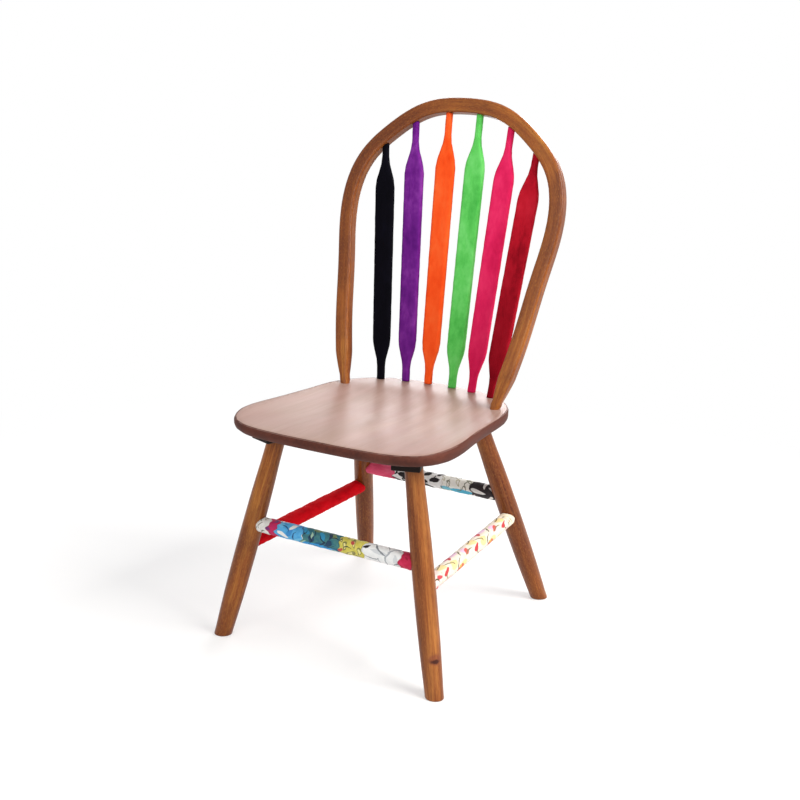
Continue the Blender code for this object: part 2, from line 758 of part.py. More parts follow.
def stretcher(name, first, second, first_height, second_height, ends, cloths):
    start = legs[first].at(first_height)
    finish = legs[second].at(second_height)
    axis = (finish - start).normalized()
    middle = (start + finish) / 2.0

    def towards(offsets, leg, direction, gap):
        return [leg_hit(middle + p, direction, leg, gap) for p in offsets]

    def offsets(radius):
        return [p - middle for p in circle(middle, axis, radius, RAIL_AROUND)]

    a_leg, b_leg = legs[first], legs[second]
    a_skin = leg_hit(middle, -axis, a_leg, 0.0)
    b_skin = leg_hit(middle, axis, b_leg, 0.0)
    a_end = a_skin - axis * RAIL_TENON
    b_end = b_skin + axis * RAIL_TENON
    rings = [
        circle(a_end, axis, RAIL_TENON_RADIUS - TIP_EASE, RAIL_AROUND),
        circle(a_end + axis * TIP_EASE, axis, RAIL_TENON_RADIUS, RAIL_AROUND),
        towards(offsets(RAIL_TENON_RADIUS), a_leg, -axis, CLEAR),
        towards(offsets(RAIL_RADIUS), a_leg, -axis, CLEAR),
        towards(offsets(RAIL_RADIUS), b_leg, axis, CLEAR),
        towards(offsets(RAIL_TENON_RADIUS), b_leg, axis, CLEAR),
        circle(b_end - axis * TIP_EASE, axis, RAIL_TENON_RADIUS, RAIL_AROUND),
        circle(b_end, axis, RAIL_TENON_RADIUS - TIP_EASE, RAIL_AROUND),
    ]
    place(f"stretcher_{name}", loft(rings), hidden_wood)
    hole = RAIL_TENON_RADIUS + CLEAR / cos(pi / RAIL_AROUND) + FACET_SPARE
    leg_cuts[first].append(
        rod(f"cut_{name}_{first}", a_end - axis * CLEAR, a_skin + axis * CUT_PAST, hole, hole, RAIL_AROUND)
    )
    leg_cuts[second].append(
        rod(f"cut_{name}_{second}", b_skin - axis * CUT_PAST, b_end + axis * CLEAR, hole, hole, RAIL_AROUND)
    )
    outer = RAIL_RADIUS + CLEAR + WRAP_THICK
    inner = RAIL_RADIUS + CLEAR
    span = (b_skin - a_skin).length
    for number, (word, colour) in enumerate(cloths, start=1):
        low, high = ends[number - 1], ends[number]
        low_point = a_skin + axis * (low * span + CLEAR / 2.0)
        high_point = a_skin + axis * (high * span - CLEAR / 2.0)
        soft = min(WRAP_SOFT_END, (high_point - low_point).length / 5.0)

        def band(radius, shrink):
            made = []
            if low == 0.0:
                made.append(towards(offsets(radius - shrink), a_leg, -axis, CLEAR))
                if shrink:
                    made.append([p + axis * soft for p in towards(offsets(radius), a_leg, -axis, CLEAR)])
            else:
                made.append(circle(low_point, axis, radius - shrink, RAIL_AROUND))
                if shrink:
                    made.append(circle(low_point + axis * soft, axis, radius, RAIL_AROUND))
            if high == 1.0:
                if shrink:
                    made.append([p - axis * soft for p in towards(offsets(radius), b_leg, axis, CLEAR)])
                made.append(towards(offsets(radius - shrink), b_leg, axis, CLEAR))
            else:
                if shrink:
                    made.append(circle(high_point - axis * soft, axis, radius, RAIL_AROUND))
                made.append(circle(high_point, axis, radius - shrink, RAIL_AROUND))
            return made

        coat = material(f"cloth_{name}_{word}", colour, 0.85)
        place(f"wrap_{name}_{number}_{word}", sleeve(band(outer, WRAP_SEAM), band(inner, 0.0)), coat)


front_ends = ("front_left", "front_right", FRONT_RAIL_HEIGHT, FRONT_RAIL_HEIGHT)
back_ends = ("rear_left", "rear_right", BACK_RAIL_HEIGHT, BACK_RAIL_HEIGHT)
left_ends = ("front_left", "rear_left", SIDE_RAIL_FRONT_HEIGHT, SIDE_RAIL_REAR_HEIGHT)
right_ends = ("front_right", "rear_right", SIDE_RAIL_FRONT_HEIGHT, SIDE_RAIL_REAR_HEIGHT)
stretcher("front", *front_ends, FRONT_WRAPS, FRONT_CLOTHS)
stretcher("back", *back_ends, BACK_WRAPS, BACK_CLOTHS)
stretcher("left", *left_ends, LEFT_WRAPS, LEFT_CLOTHS)
stretcher("right", *right_ends, RIGHT_WRAPS, RIGHT_CLOTHS)
for key, tools in leg_cuts.items():
    cut(leg_pieces[key], tools, f"{key}_mortises")

# Seat


def seat_outline(count):
    """Evenly spaced points round the seat, starting at the front."""
    half = [
        (x * SEAT_HALF_WIDTH, y * (SEAT_FRONT if y < 0.0 else SEAT_BACK)) for x, y in SEAT_SHAPE
    ]
    knots = half + [(-x, y) for x, y in half[-2:0:-1]]
    total = len(knots)
    dense = []
    for k in range(total):
        p0, p1, p2, p3 = (np.array(knots[(k + j) % total]) for j in (-1, 0, 1, 2))
        for step in range(24):
            t = step / 24.0
            square = (2 * p0 - 5 * p1 + 4 * p2 - p3) * t**2
            cube = (3 * p1 - p0 - 3 * p2 + p3) * t**3
            dense.append((2.0 * p1 + (p2 - p0) * t + square + cube) / 2.0)
    loop = np.array(dense + [dense[0]])
    along = np.concatenate([[0.0], np.cumsum(np.linalg.norm(np.diff(loop, axis=0), axis=1))])
    wanted = np.linspace(0.0, along[-1], count, endpoint=False)
    return np.stack([np.interp(wanted, along, loop[:, 0]), np.interp(wanted, along, loop[:, 1])], axis=1)


outline = seat_outline(SEAT_AROUND)
tangents = np.roll(outline, -1, axis=0) - np.roll(outline, 1, axis=0)
tangents /= np.linalg.norm(tangents, axis=1)[:, None]
outward = np.stack([tangents[:, 1], -tangents[:, 0]], axis=1)


def deck_line(x):
    """Where the flat deck that carries the slats ends and the hollow begins."""
    return SEAT_BACK - DECK_DEPTH - DECK_SWEEP * (x / SEAT_HALF_WIDTH) ** 2


def seat_height(x, y):
    """Height of the saddled top."""
    ahead = deck_line(x) - y
    depth = SEAT_FRONT + deck_line(x)
    way = ahead / depth
    across = abs(x) / SEAT_HALF_WIDTH
    side = 1.0 - smooth((across - 0.50) / 0.44)
    run = smooth(ahead / SADDLE_RUN) * (1.0 - 0.92 * smooth((way - 0.42) / 0.52))
    pommel = 1.0 - 0.75 * np.exp(-((x / POMMEL_WIDTH) ** 2)) * smooth((way - 0.30) / 0.45)
    hollow = SADDLE_DEPTH * run * side * pommel
    gutter = GUTTER_DEPTH * smooth(ahead / GUTTER_RUN) * (1.0 - smooth((across - 0.80) / 0.14)) * (
        1.0 - smooth((way - 0.70) / 0.28)
    )
    drop = FRONT_DROP * smooth((-y - SEAT_FRONT * 0.50) / (SEAT_FRONT * 0.50))
    return SEAT_TOP - hollow - gutter - drop


def seat_ring(inset, height=None, below_top=0.0):
    made = []
    for (x, y), (ox, oy) in zip(outline, outward):
        px, py = x - ox * inset, y - oy * inset
        z = (seat_height(px, py) - below_top) if height is None else height
        made.append(Vector((px, py, z)))
    return made


seat_rings = [
    seat_ring(SEAT_UNDER_ROUND, SEAT_UNDER),
    seat_ring(SEAT_UNDER_ROUND * 0.50, SEAT_UNDER + SEAT_UNDER_ROUND * 0.13),
    seat_ring(SEAT_UNDER_ROUND * 0.16, SEAT_UNDER + SEAT_UNDER_ROUND * 0.40),
    seat_ring(0.0, SEAT_UNDER + SEAT_UNDER_ROUND * 0.78),
    seat_ring(0.0, None, SEAT_TOP_ROUND),
    seat_ring(SEAT_TOP_ROUND * 0.30, None, SEAT_TOP_ROUND * 0.30),
    seat_ring(SEAT_TOP_ROUND, None, 0.0),
]
middle = np.array([0.0, (SEAT_BACK - SEAT_FRONT) / 2.0])
inner_edge = np.array([[p.x, p.y] for p in seat_rings[-1]])
for share in (0.955, 0.91, 0.87, 0.83, 0.79, 0.75, 0.71, 0.66, 0.60, 0.52, 0.42, 0.30, 0.15):
    loop = middle + (inner_edge - middle) * share
    seat_rings.append([Vector((x, y, seat_height(x, y))) for x, y in loop])
bm = bmesh.new()
made = skin(bm, seat_rings)
bm.faces.new(made[0])
top = bm.verts.new((middle[0], middle[1], seat_height(middle[0], middle[1])))
last = made[-1]
for k in range(len(last)):
    bm.faces.new((last[k], last[(k + 1) % len(last)], top))
seat = place("seat", bm, seat_wood)
cut(seat, seat_cuts, "seat_mortises")

# The origin goes on the floor, under the middle of the whole chair


def all_cutters(home):
    found = list(home.objects)
    for child in home.children:
        found += all_cutters(child)
    return found


bpy.context.view_layer.update()
corners = []
for piece in parts.objects:
    corners += [piece.matrix_world @ Vector(corner) for corner in piece.bound_box]
low = [min(c[k] for c in corners) for k in range(3)]
high = [max(c[k] for c in corners) for k in range(3)]
shift = Matrix.Translation((-(low[0] + high[0]) / 2.0, -(low[1] + high[1]) / 2.0, 0.0))
for piece in list(parts.objects) + all_cutters(cutters):
    piece.data.transform(shift)
print("pieces", len(parts.objects), "size", [round(b - a, 4) for a, b in zip(low, high)])
print("shift", [round(v, 5) for v in shift.translation])
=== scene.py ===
import bpy
import bmesh
from math import atan2, cos, pi, radians, sin
from mathutils import Matrix, Vector, noise
from mathutils.bvhtree import BVHTree


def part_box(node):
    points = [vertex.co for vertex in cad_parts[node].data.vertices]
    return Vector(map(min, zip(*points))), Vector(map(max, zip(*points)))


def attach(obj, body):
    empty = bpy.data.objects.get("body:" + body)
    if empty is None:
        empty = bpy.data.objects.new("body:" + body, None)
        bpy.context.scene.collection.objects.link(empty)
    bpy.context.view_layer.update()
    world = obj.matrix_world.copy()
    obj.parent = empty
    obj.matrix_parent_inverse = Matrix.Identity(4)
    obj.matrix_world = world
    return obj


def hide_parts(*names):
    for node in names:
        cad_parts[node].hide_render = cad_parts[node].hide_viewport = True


# Hoop-back chair: turned legs and bent bow in brown stain, velvet sleeves on the slats,
# pieces of cloth round the stretchers. Lengths are in metres.

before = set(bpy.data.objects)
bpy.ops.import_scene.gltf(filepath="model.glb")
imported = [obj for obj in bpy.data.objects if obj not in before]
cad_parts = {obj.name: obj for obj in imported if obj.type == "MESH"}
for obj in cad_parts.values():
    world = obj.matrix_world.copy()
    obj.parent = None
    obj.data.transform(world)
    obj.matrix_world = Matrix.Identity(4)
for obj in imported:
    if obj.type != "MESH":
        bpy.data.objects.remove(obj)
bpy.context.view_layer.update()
chair = bpy.data.collections.new("chair dressing")
bpy.context.scene.collection.children.link(chair)
print("frame loaded:", len(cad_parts), "nodes")

# solved from the outlines of the legs, stretchers, slats, bow and seat
viewpoint = {
    "spot": (1.0530, -1.9249, 1.0122), "yaw": 0.4977, "pitch": 0.2531, "roll": 0.0428,
    "lens": 54.28, "sensor": 36.0, "near": 0.05,
}


def aimCamera(view):
    yaw, pitch, roll = view["yaw"], view["pitch"], view["roll"]
    ahead = Vector((-sin(yaw) * cos(pitch), cos(yaw) * cos(pitch), -sin(pitch)))
    right = Vector((cos(yaw), sin(yaw), 0.0))
    up = right.cross(ahead)
    sideways = right * cos(roll) + up * sin(roll)
    upwards = -right * sin(roll) + up * cos(roll)
    turn = Matrix((sideways, upwards, -ahead)).transposed().to_4x4()
    data = bpy.data.cameras.new("photo view")
    data.lens = view["lens"]
    data.sensor_width = view["sensor"]
    data.sensor_fit = "HORIZONTAL"
    data.clip_start = view["near"]
    cam = bpy.data.objects.new("photo view", data)
    cam.matrix_world = Matrix.Translation(view["spot"]) @ turn
    bpy.context.scene.collection.objects.link(cam)
    bpy.context.scene.camera = cam


aimCamera(viewpoint)

# the back lamp stays large and weak, because a small strong one eats into the bow's edge
softLamps = {
    "window": {
        "spot": (2.5, -0.1, 2.4), "aim": (0, 0, 0.5), "size": (1.8, 1.8),
        "power": 120.0, "tint": (1.0, 0.98, 0.94),
    },
    "front": {
        "spot": (0.2, -3.0, 1.8), "aim": (0, 0, 0.5), "size": (2.4, 1.8),
        "power": 34.0, "tint": (1.0, 0.99, 0.97),
    },
    "left": {
        "spot": (-2.6, -0.4, 1.5), "aim": (0, 0, 0.5), "size": (1.6, 1.6),
        "power": 5.0, "tint": (1.0, 0.99, 0.98),
    },
    "above": {
        "spot": (0.1, 0.2, 3.0), "aim": (0, 0, 0.4), "size": (2.0, 2.0),
        "power": 6.0, "tint": (1.0, 1.0, 1.0),
    },
    "back": {
        "spot": (-0.75, 2.6, 1.2), "aim": (0.15, 0, 0.44), "size": (1.6, 1.5),
        "power": 44.0, "tint": (1.0, 0.97, 1.0),
    },
}


def hangLamp(name, lamp):
    data = bpy.data.lights.new(name, "AREA")
    data.shape = "RECTANGLE"
    data.size, data.size_y = lamp["size"]
    data.energy = lamp["power"]
    data.color = lamp["tint"]
    made = bpy.data.objects.new(name, data)
    turn = (Vector(lamp["aim"]) - Vector(lamp["spot"])).to_track_quat("-Z", "Y")
    made.matrix_world = Matrix.Translation(lamp["spot"]) @ turn.to_matrix().to_4x4()
    bpy.context.scene.collection.objects.link(made)


for lampName, lampFacts in softLamps.items():
    hangLamp(lampName, lampFacts)
bpy.context.scene.view_settings.view_transform = "Standard"
print("camera and lamps placed")


def put(tree, kind, sockets=None, **settings):
    made = tree.nodes.new(kind)
    for key, value in settings.items():
        setattr(made, key, value)
    for key, value in (sockets or {}).items():
        if isinstance(value, bpy.types.NodeSocket):
            tree.links.new(value, made.inputs[key])
        else:
            made.inputs[key].default_value = value
    return made


def sums(tree, operation, first, second=0.0, third=0.0):
    return put(tree, "ShaderNodeMath", {0: first, 1: second, 2: third}, operation=operation).outputs[0]


def vectorSums(tree, operation, first, second=(0, 0, 0)):
    made = put(tree, "ShaderNodeVectorMath", {0: first, 1: second}, operation=operation)
    return made.outputs["Value" if operation == "LENGTH" else "Vector"]


def spread(tree, value, low, high, least=0.0, most=1.0, soft=False):
    kind = "SMOOTHSTEP" if soft else "LINEAR"
    sockets = {"Value": value, "From Min": low, "From Max": high, "To Min": least, "To Max": most}
    return put(tree, "ShaderNodeMapRange", sockets, interpolation_type=kind).outputs["Result"]


def blendColour(tree, amount, first, second):
    made = put(tree, "ShaderNodeMix", data_type="RGBA")
    for slot, value in (("Factor_Float", amount), ("A_Color", first), ("B_Color", second)):
        target = next(s for s in made.inputs if s.identifier == slot)
        if isinstance(value, bpy.types.NodeSocket):
            tree.links.new(value, target)
        else:
            target.default_value = (*value, 1.0)
    return next(s for s in made.outputs if s.identifier == "Result_Color")


def ramp(tree, value, stops):
    made = put(tree, "ShaderNodeValToRGB", {"Fac": value})
    while len(made.color_ramp.elements) < len(stops):
        made.color_ramp.elements.new(0.5)
    for element, (place, colour) in zip(made.color_ramp.elements, stops):
        element.position = place
        element.color = (*colour, 1.0)
    return made.outputs["Color"]


def mapped(tree, vector, scale=(1, 1, 1), turn=(0, 0, 0), shift=(0, 0, 0)):
    sockets = {"Vector": vector, "Scale": scale, "Rotation": turn, "Location": shift}
    return put(tree, "ShaderNodeMapping", sockets).outputs["Vector"]


# noise with so many cells to the metre each way
def cloudy(tree, vector, cells, detail=3.0, rough=0.5, turn=(0, 0, 0), shift=(0, 0, 0)):
    spot = mapped(tree, vector, cells, turn, shift)
    sockets = {"Vector": spot, "Scale": 1.0, "Detail": detail, "Roughness": rough}
    return put(tree, "ShaderNodeTexNoise", sockets).outputs["Fac"]


def bumpUp(tree, shader, height, strength, relief):
    bump = put(tree, "ShaderNodeBump", {"Height": height, "Strength": strength, "Distance": relief})
    tree.links.new(bump.outputs["Normal"], shader.inputs["Normal"])


def startFinish(name, roughness, **fixed):
    made = bpy.data.materials.new(name)
    made.use_nodes = True
    tree = made.node_tree
    shader = tree.nodes["Principled BSDF"]
    shader.inputs["Roughness"].default_value = roughness
    for key, value in fixed.items():
        shader.inputs[key].default_value = value
    return made, tree, shader


# screen colour, 0 to 255, made linear
def rgb(red, green, blue):
    shares = (red / 255, green / 255, blue / 255)
    return tuple(((v + 0.055) / 1.055) ** 2.4 if v > 0.04045 else v / 12.92 for v in shares)


# cells to the metre with the third along the grain, then detail and roughness
woodNoise = {
    "broad": ((26, 26, 2.6), 3.0, 0.5),
    "streaks": ((190, 190, 6.0), 5.0, 0.62),
    "lines": ((900, 900, 9.0), 2.0, 0.6),
    "pores": ((1700, 1700, 60), 1.0, 0.5),
    "dirt": ((15, 15, 8), 3.0, 0.6),
    "flecks": ((1300, 1300, 150), 1.0, 0.5),
}
# noise values between which each kind of mark fades in
woodMarks = {"dirt": (0.38, 0.64), "pores": (0.57, 0.70), "flecks": (0.55, 0.68)}


# dark rings round one spot, whose edges follow the streaks
def paintKnot(tree, colour, streaks, knot):
    where = put(tree, "ShaderNodeTexCoord").outputs["Object"]
    for ring in knot["rings"]:
        centre = Vector(knot["spot"]) + Vector((0, 0, ring["lift"]))
        apart = vectorSums(tree, "SUBTRACT", where, centre)
        away = vectorSums(tree, "LENGTH", vectorSums(tree, "MULTIPLY", apart, (1, 1, ring["flat"])))
        away = sums(tree, "MULTIPLY_ADD", streaks, -knot["uneven"], away)
        inside = spread(tree, away, ring["edge"], ring["edge"] - knot["soft"], 0.0, ring["share"], soft=True)
        colour = blendColour(tree, inside, colour, ring["tone"])
    return colour


def woodFinish(name, look, attribute=None):
    made, tree, shader = startFinish(name, look["rough"], **{
        "Coat Weight": look["coat"], "Coat Roughness": look["coatRough"], "Specular IOR Level": look["gloss"],
    })
    if attribute:
        spot = put(tree, "ShaderNodeAttribute", attribute_name=attribute).outputs["Vector"]
    else:
        spot = mapped(tree, put(tree, "ShaderNodeTexCoord").outputs["Object"], turn=look["turn"])
    grain = {kind: cloudy(tree, spot, *facts) for kind, facts in woodNoise.items()}
    streaks, lines = grain["streaks"], grain["lines"]
    marks = {kind: spread(tree, grain[kind], *edges) for kind, edges in woodMarks.items()}
    broad = sums(tree, "MULTIPLY", grain["broad"], 1 - look["streakShare"])
    tone = sums(tree, "MULTIPLY_ADD", streaks, look["streakShare"], broad)
    tone = sums(tree, "SUBTRACT", tone, look["lineShare"] / 2)
    tone = sums(tree, "MULTIPLY_ADD", lines, look["lineShare"], tone)
    colour = ramp(tree, tone, look["tones"])
    tints = {"dirt": look["dirtTone"], "pores": look["poreTone"], "flecks": look["tones"][-1][1]}
    for kind, tint in tints.items():
        colour = blendColour(tree, sums(tree, "MULTIPLY", marks[kind], look[kind]), colour, tint)
    worn = spread(tree, streaks, 0.3, 0.7, look["rough"] - 0.05, look["rough"] + 0.08)
    if "shadedRimTone" in look:  # painted shade: the edge gets darker tones than the top, and takes less shine
        rim = put(tree, "ShaderNodeAttribute", attribute_name="rim").outputs["Fac"]
        shade = blendColour(tree, spread(tree, tone, 0.35, 0.65), look["shadedRimTone"][0], look["shadedRimTone"][1])
        colour = blendColour(tree, spread(tree, rim, 0.05, 0.9, soft=True), colour, shade)
        worn = sums(tree, "MULTIPLY_ADD", rim, look["rimRough"], worn)
    if "knot" in look:
        colour = paintKnot(tree, colour, streaks, look["knot"])
    tree.links.new(colour, shader.inputs["Base Color"])
    tree.links.new(worn, shader.inputs["Roughness"])
    height = sums(tree, "MULTIPLY_ADD", marks["pores"], -0.5, sums(tree, "MULTIPLY", lines, 0.5))
    bumpUp(tree, shader, height, look["bump"], look["relief"])
    return made


brownStain = {
    "tones": (
        (0.30, rgb(80, 34, 12)), (0.42, rgb(120, 60, 22)),
        (0.54, rgb(154, 86, 34)), (0.66, rgb(196, 130, 56)),
    ),
    "streakShare": 0.42, "lineShare": 0.16, "dirt": 0.75, "dirtTone": rgb(100, 48, 22),
    "pores": 0.45, "poreTone": rgb(48, 20, 8), "flecks": 0.3, "turn": (0, 0, 0),
    "rough": 0.36, "coat": 0.22, "coatRough": 0.2, "gloss": 0.12, "bump": 0.2, "relief": 0.0004,
}
# the seat's pale top tones are partly its stain and partly painted reflection of the bright backdrop
seatStainAndGlare = dict(
    brownStain,
    tones=(
        (0.28, rgb(142, 114, 102)), (0.45, rgb(156, 128, 116)),
        (0.57, rgb(166, 139, 128)), (0.72, rgb(180, 154, 142)),
    ),
    dirt=0.3, dirtTone=rgb(166, 128, 124), pores=0.08, poreTone=rgb(112, 82, 68), flecks=0.06,
    turn=(radians(90), 0, 0), rough=0.42, coat=0.0, gloss=0.2, bump=0.04,
    # painted shade on the seat's edge
    shadedRimTone=(rgb(66, 30, 22), rgb(96, 50, 38)), rimRough=0.2,
)
# painted shade: the blocks under the seat get near-black tones for the shade they sit in, not their own
# colour
shadedBlock = dict(
    brownStain,
    tones=((0.30, rgb(12, 7, 6)), (0.50, rgb(24, 15, 12)), (0.70, rgb(44, 30, 24))),
    dirtTone=rgb(16, 10, 8), turn=(0, radians(90), 0), rough=0.5, coat=0.0,
)
bareWood = dict(
    brownStain,
    tones=((0.30, rgb(168, 128, 84)), (0.50, rgb(200, 160, 112)), (0.70, rgb(220, 186, 140))),
    dirtTone=rgb(170, 130, 90), poreTone=rgb(120, 84, 50), rough=0.6, coat=0.0,
)


def corners(node):
    return [v.co.copy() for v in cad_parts[node].data.vertices]


def treeOf(*nodes):
    bm = bmesh.new()
    for node in nodes:
        bm.from_mesh(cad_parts[node].data)
    made = BVHTree.FromBMesh(bm)
    bm.free()
    return made


def meanOf(points):
    return sum(points, Vector()) / len(points)


# middle of both end rings of a long piece, found along a rough direction
def stickAxis(node, along, depth=0.0006):
    points = corners(node)
    reach = [p.dot(along) for p in points]
    least, most = min(reach), max(reach)
    low = [p for p, r in zip(points, reach) if r < least + depth]
    high = [p for p, r in zip(points, reach) if r > most - depth]
    return meanOf(low), meanOf(high)


# direction of the seam's side and the one beside it, square to the axis
def crossways(axis, back):
    through = (back - axis * back.dot(axis)).normalized()
    return through, through.cross(axis).normalized()


# the layers come first, because a new layer drops the hold on vertices
def newMesh():
    bm = bmesh.new()
    bm.verts.layers.float_vector.new("stick")
    bm.verts.layers.float.new("rim")
    bm.loops.layers.uv.new("clothMap")
    return bm


# a circle pulled out ring by ring, which are placed afterwards
def pullTube(around, count):
    bm = newMesh()
    ring = bmesh.ops.create_circle(bm, cap_ends=False, segments=around, radius=1.0)["verts"]
    ring.sort(key=lambda v: atan2(v.co.y, v.co.x) % (2 * pi))
    rings = [ring]
    for _ in range(count - 1):
        members = set(ring)
        edges = [e for e in bm.edges if e.verts[0] in members and e.verts[1] in members]
        pulled = bmesh.ops.extrude_edge_only(bm, edges=edges)["geom"]
        fresh = {v for v in pulled if isinstance(v, bmesh.types.BMVert)}
        ring = [next(e.other_vert(v) for e in v.link_edges if e.other_vert(v) in fresh) for v in ring]
        rings.append(ring)
    return bm, rings


def capEnds(bm, rings):
    for ring in (rings[0], rings[-1]):
        bmesh.ops.contextual_create(bm, geom=[e for e in bm.edges if e.is_boundary and e.verts[0] in ring])


def finishPiece(name, bm, finish, node):
    bmesh.ops.recalc_face_normals(bm, faces=bm.faces)
    mesh = bpy.data.meshes.new(name)
    bm.to_mesh(mesh)
    bm.free()
    for face in mesh.polygons:
        face.use_smooth = True
    mesh.materials.append(finish)
    made = bpy.data.objects.new(name, mesh)
    chair.objects.link(made)
    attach(made, "root")
    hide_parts(node)
    return made


# u runs round and is 0 opposite the seam, v runs along, both in metres
def layUv(bm, rings, lengths, girths):
    layer = bm.loops.layers.uv["clothMap"]
    spot = {v: (k, j) for k, ring in enumerate(rings) for j, v in enumerate(ring)}
    around = len(rings[0])
    for face in bm.faces:
        wraps = {spot[v][1] for v in face.verts} >= {0, around - 1}
        for loop in face.loops:
            k, j = spot[loop.vert]
            turn = around if wraps and j == 0 else j
            loop[layer].uv = ((turn / around - 0.5) * girths[k], lengths[k])


# keeps each vertex's place in the straight stick, with the grain along the third value
def layGrain(bm, spots):
    layer = bm.verts.layers.float_vector["stick"]
    for vert, spot in spots.items():
        vert[layer] = spot


# sole is the lowest level where the radius is read, and sunk is how far the outline starts below the floor
legFacts = {
    "around": 44, "steps": 46, "chamfer": 0.0012, "outside": 0.05, "lowRing": 0.06, "underBlock": 0.03,
    "underHead": 0.004, "sole": 0.012, "sunk": 0.02, "flare": 0.8, "sharp": radians(40),
}
legLooks = {
    "front_left": {"dirt": 0.8},
    "front_right": {
        "tones": (
            (0.30, rgb(76, 34, 14)), (0.42, rgb(110, 56, 24)),
            (0.54, rgb(140, 78, 36)), (0.66, rgb(176, 112, 54)),
        ),
        "dirt": 0.7,
        "knot": {
            "spot": (0.2241, -0.2338, 0.0700), "uneven": 0.016, "soft": 0.006,
            "rings": (
                {"lift": 0.001, "flat": 1.2, "edge": 0.006, "share": 0.6, "tone": rgb(116, 56, 42)},
                {"lift": -0.002, "flat": 2.2, "edge": 0.003, "share": 0.9, "tone": rgb(54, 20, 14)},
            ),
        },
    },
    "rear_left": {"dirt": 0.9},
    "rear_right": {"dirt": 0.5},
}


# middle of the leg at one height, drawn in from a first guess
def legMiddle(skin, centre, height):
    for _ in range(4):
        hits = []
        for k in range(24):
            way = Vector((cos(k * pi / 12), sin(k * pi / 12), 0))
            hit = skin.ray_cast(centre + way * legFacts["outside"], -way)[0]
            if hit:
                hits.append(hit)
        centre = meanOf(hits)
        centre.z = height
    return centre


# radius and distance at even steps up the leg, each radius near the widest of its ring
def legOutline(skin, foot, axis, through, across, reach):
    outline = []
    for step in range(legFacts["steps"] + 1):
        along = reach * step / legFacts["steps"]
        centre = foot + axis * max(along, legFacts["sole"])
        radii = []
        for k in range(30):
            way = through * cos(k * pi / 15) + across * sin(k * pi / 15)
            hit = skin.ray_cast(centre + way * legFacts["outside"], -way)[0]
            if hit:
                radii.append((hit - centre).length)
        outline.append((sorted(radii)[-3], along))
    first, second = outline[0][0], outline[1][0]
    return [(first - (second - first) * legFacts["flare"], -legFacts["sunk"])] + outline


def turnLeg(key):
    node = "leg_" + key
    skin = treeOf(node)
    sole = stickAxis(node, Vector((0, 0, 1)))[0]
    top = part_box(node)[1][2]
    head = meanOf([p for p in corners(node) if abs(p.z - top) < 0.002])
    heights = (legFacts["lowRing"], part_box("block_" + key)[0][2] - legFacts["underBlock"])
    lower, upper = [legMiddle(skin, sole.lerp(head, height / head.z), height) for height in heights]
    axis = (upper - lower).normalized()
    foot = lower - axis * (lower.z / axis.z)
    reach = (head.z - legFacts["underHead"]) / axis.z
    through, across = crossways(axis, Vector((0, 1, 0)))
    bm = newMesh()
    outline = [bm.verts.new((r, 0, s)) for r, s in legOutline(skin, foot, axis, through, across, reach)]
    edges = [bm.edges.new(pair) for pair in zip(outline, outline[1:])]
    bmesh.ops.spin(
        bm, geom=outline + edges, cent=(0, 0, 0), axis=(0, 0, 1), dvec=(0, 0, 0),
        angle=2 * pi, steps=legFacts["around"], use_merge=True, use_duplicate=False,
    )
    bmesh.ops.remove_doubles(bm, verts=bm.verts, dist=1e-6)
    bmesh.ops.holes_fill(bm, edges=[e for e in bm.edges if e.is_boundary], sides=0)
    board = Vector((len(key) * 0.3, len(key) * 0.17, foot.x * 9))  # no two legs show the same grain
    layGrain(bm, {v: v.co + board for v in bm.verts})
    turn = Matrix((across, through, axis)).transposed()
    bmesh.ops.transform(bm, matrix=Matrix.Translation(foot) @ turn.to_4x4(), verts=bm.verts)
    # cut level with the floor
    cutGeom = [*bm.verts, *bm.edges, *bm.faces]
    cut = bmesh.ops.bisect_plane(bm, geom=cutGeom, plane_co=(0, 0, 0), plane_no=(0, 0, -1), clear_outer=True)
    rim = [g for g in cut["geom_cut"] if isinstance(g, bmesh.types.BMEdge)]
    bmesh.ops.edgeloop_fill(bm, edges=rim)
    bmesh.ops.bevel(
        bm, geom=rim, offset=legFacts["chamfer"], segments=2, profile=0.5, affect="EDGES", material=-1
    )
    finish = woodFinish("stain leg " + key, dict(brownStain, **legLooks[key]), "stick")
    made = finishPiece("turned_leg_" + key, bm, finish, node)
    made.data.set_sharp_from_angle(angle=legFacts["sharp"])


for legName in legLooks:
    turnLeg(legName)
print("legs turned")

# fan is in degrees either side of the crown, hub is the fan's height as a share of the bow's
bowFacts = {
    "around": 44, "stations": 150, "lean": radians(15.1), "fan": 85, "hub": 0.60, "offCentre": 0.0055,
    "sideSteps": 60, "overFoot": 0.006, "outside": 0.8, "overSkin": 0.03, "search": 0.045,
}


# middle of the bent stick, from the left foot over the crown to the right foot
def bowCentreLine(skin, back):
    up = Vector((0, sin(bowFacts["lean"]), cos(bowFacts["lean"])))
    right = Vector((1, 0, 0))
    points = corners("bow")
    depth = [p.dot(back) for p in points]
    levels = [p.dot(up) for p in points]
    lowest = min(levels)
    rise = lowest + (max(levels) - lowest) * bowFacts["hub"]
    plane = back * ((min(depth) + max(depth)) / 2)

    def midway(start, way):
        inner = skin.ray_cast(start, way)[0]
        outer = skin.ray_cast(start + way * bowFacts["outside"], -way)[0]
        return (inner + outer) / 2 if inner and outer else None

    arch = []
    for degree in range(-bowFacts["fan"], bowFacts["fan"] + 1):
        turn = radians(degree)
        way = right * sin(turn) + up * cos(turn)
        found = []
        for offset in (-bowFacts["offCentre"], bowFacts["offCentre"]):
            middle = midway(plane + up * rise + back * offset, way)
            if middle:
                found.append(middle - back * offset)
        arch.append(meanOf(found))
    over, steps = bowFacts["overFoot"], bowFacts["sideSteps"]
    heights = [lowest + over + (rise - lowest - over) * k / steps for k in range(steps)]
    sides = [[midway(plane + up * h, right * side) for h in heights] for side in (-1, 1)]
    return sides[0] + arch + sides[1][::-1]


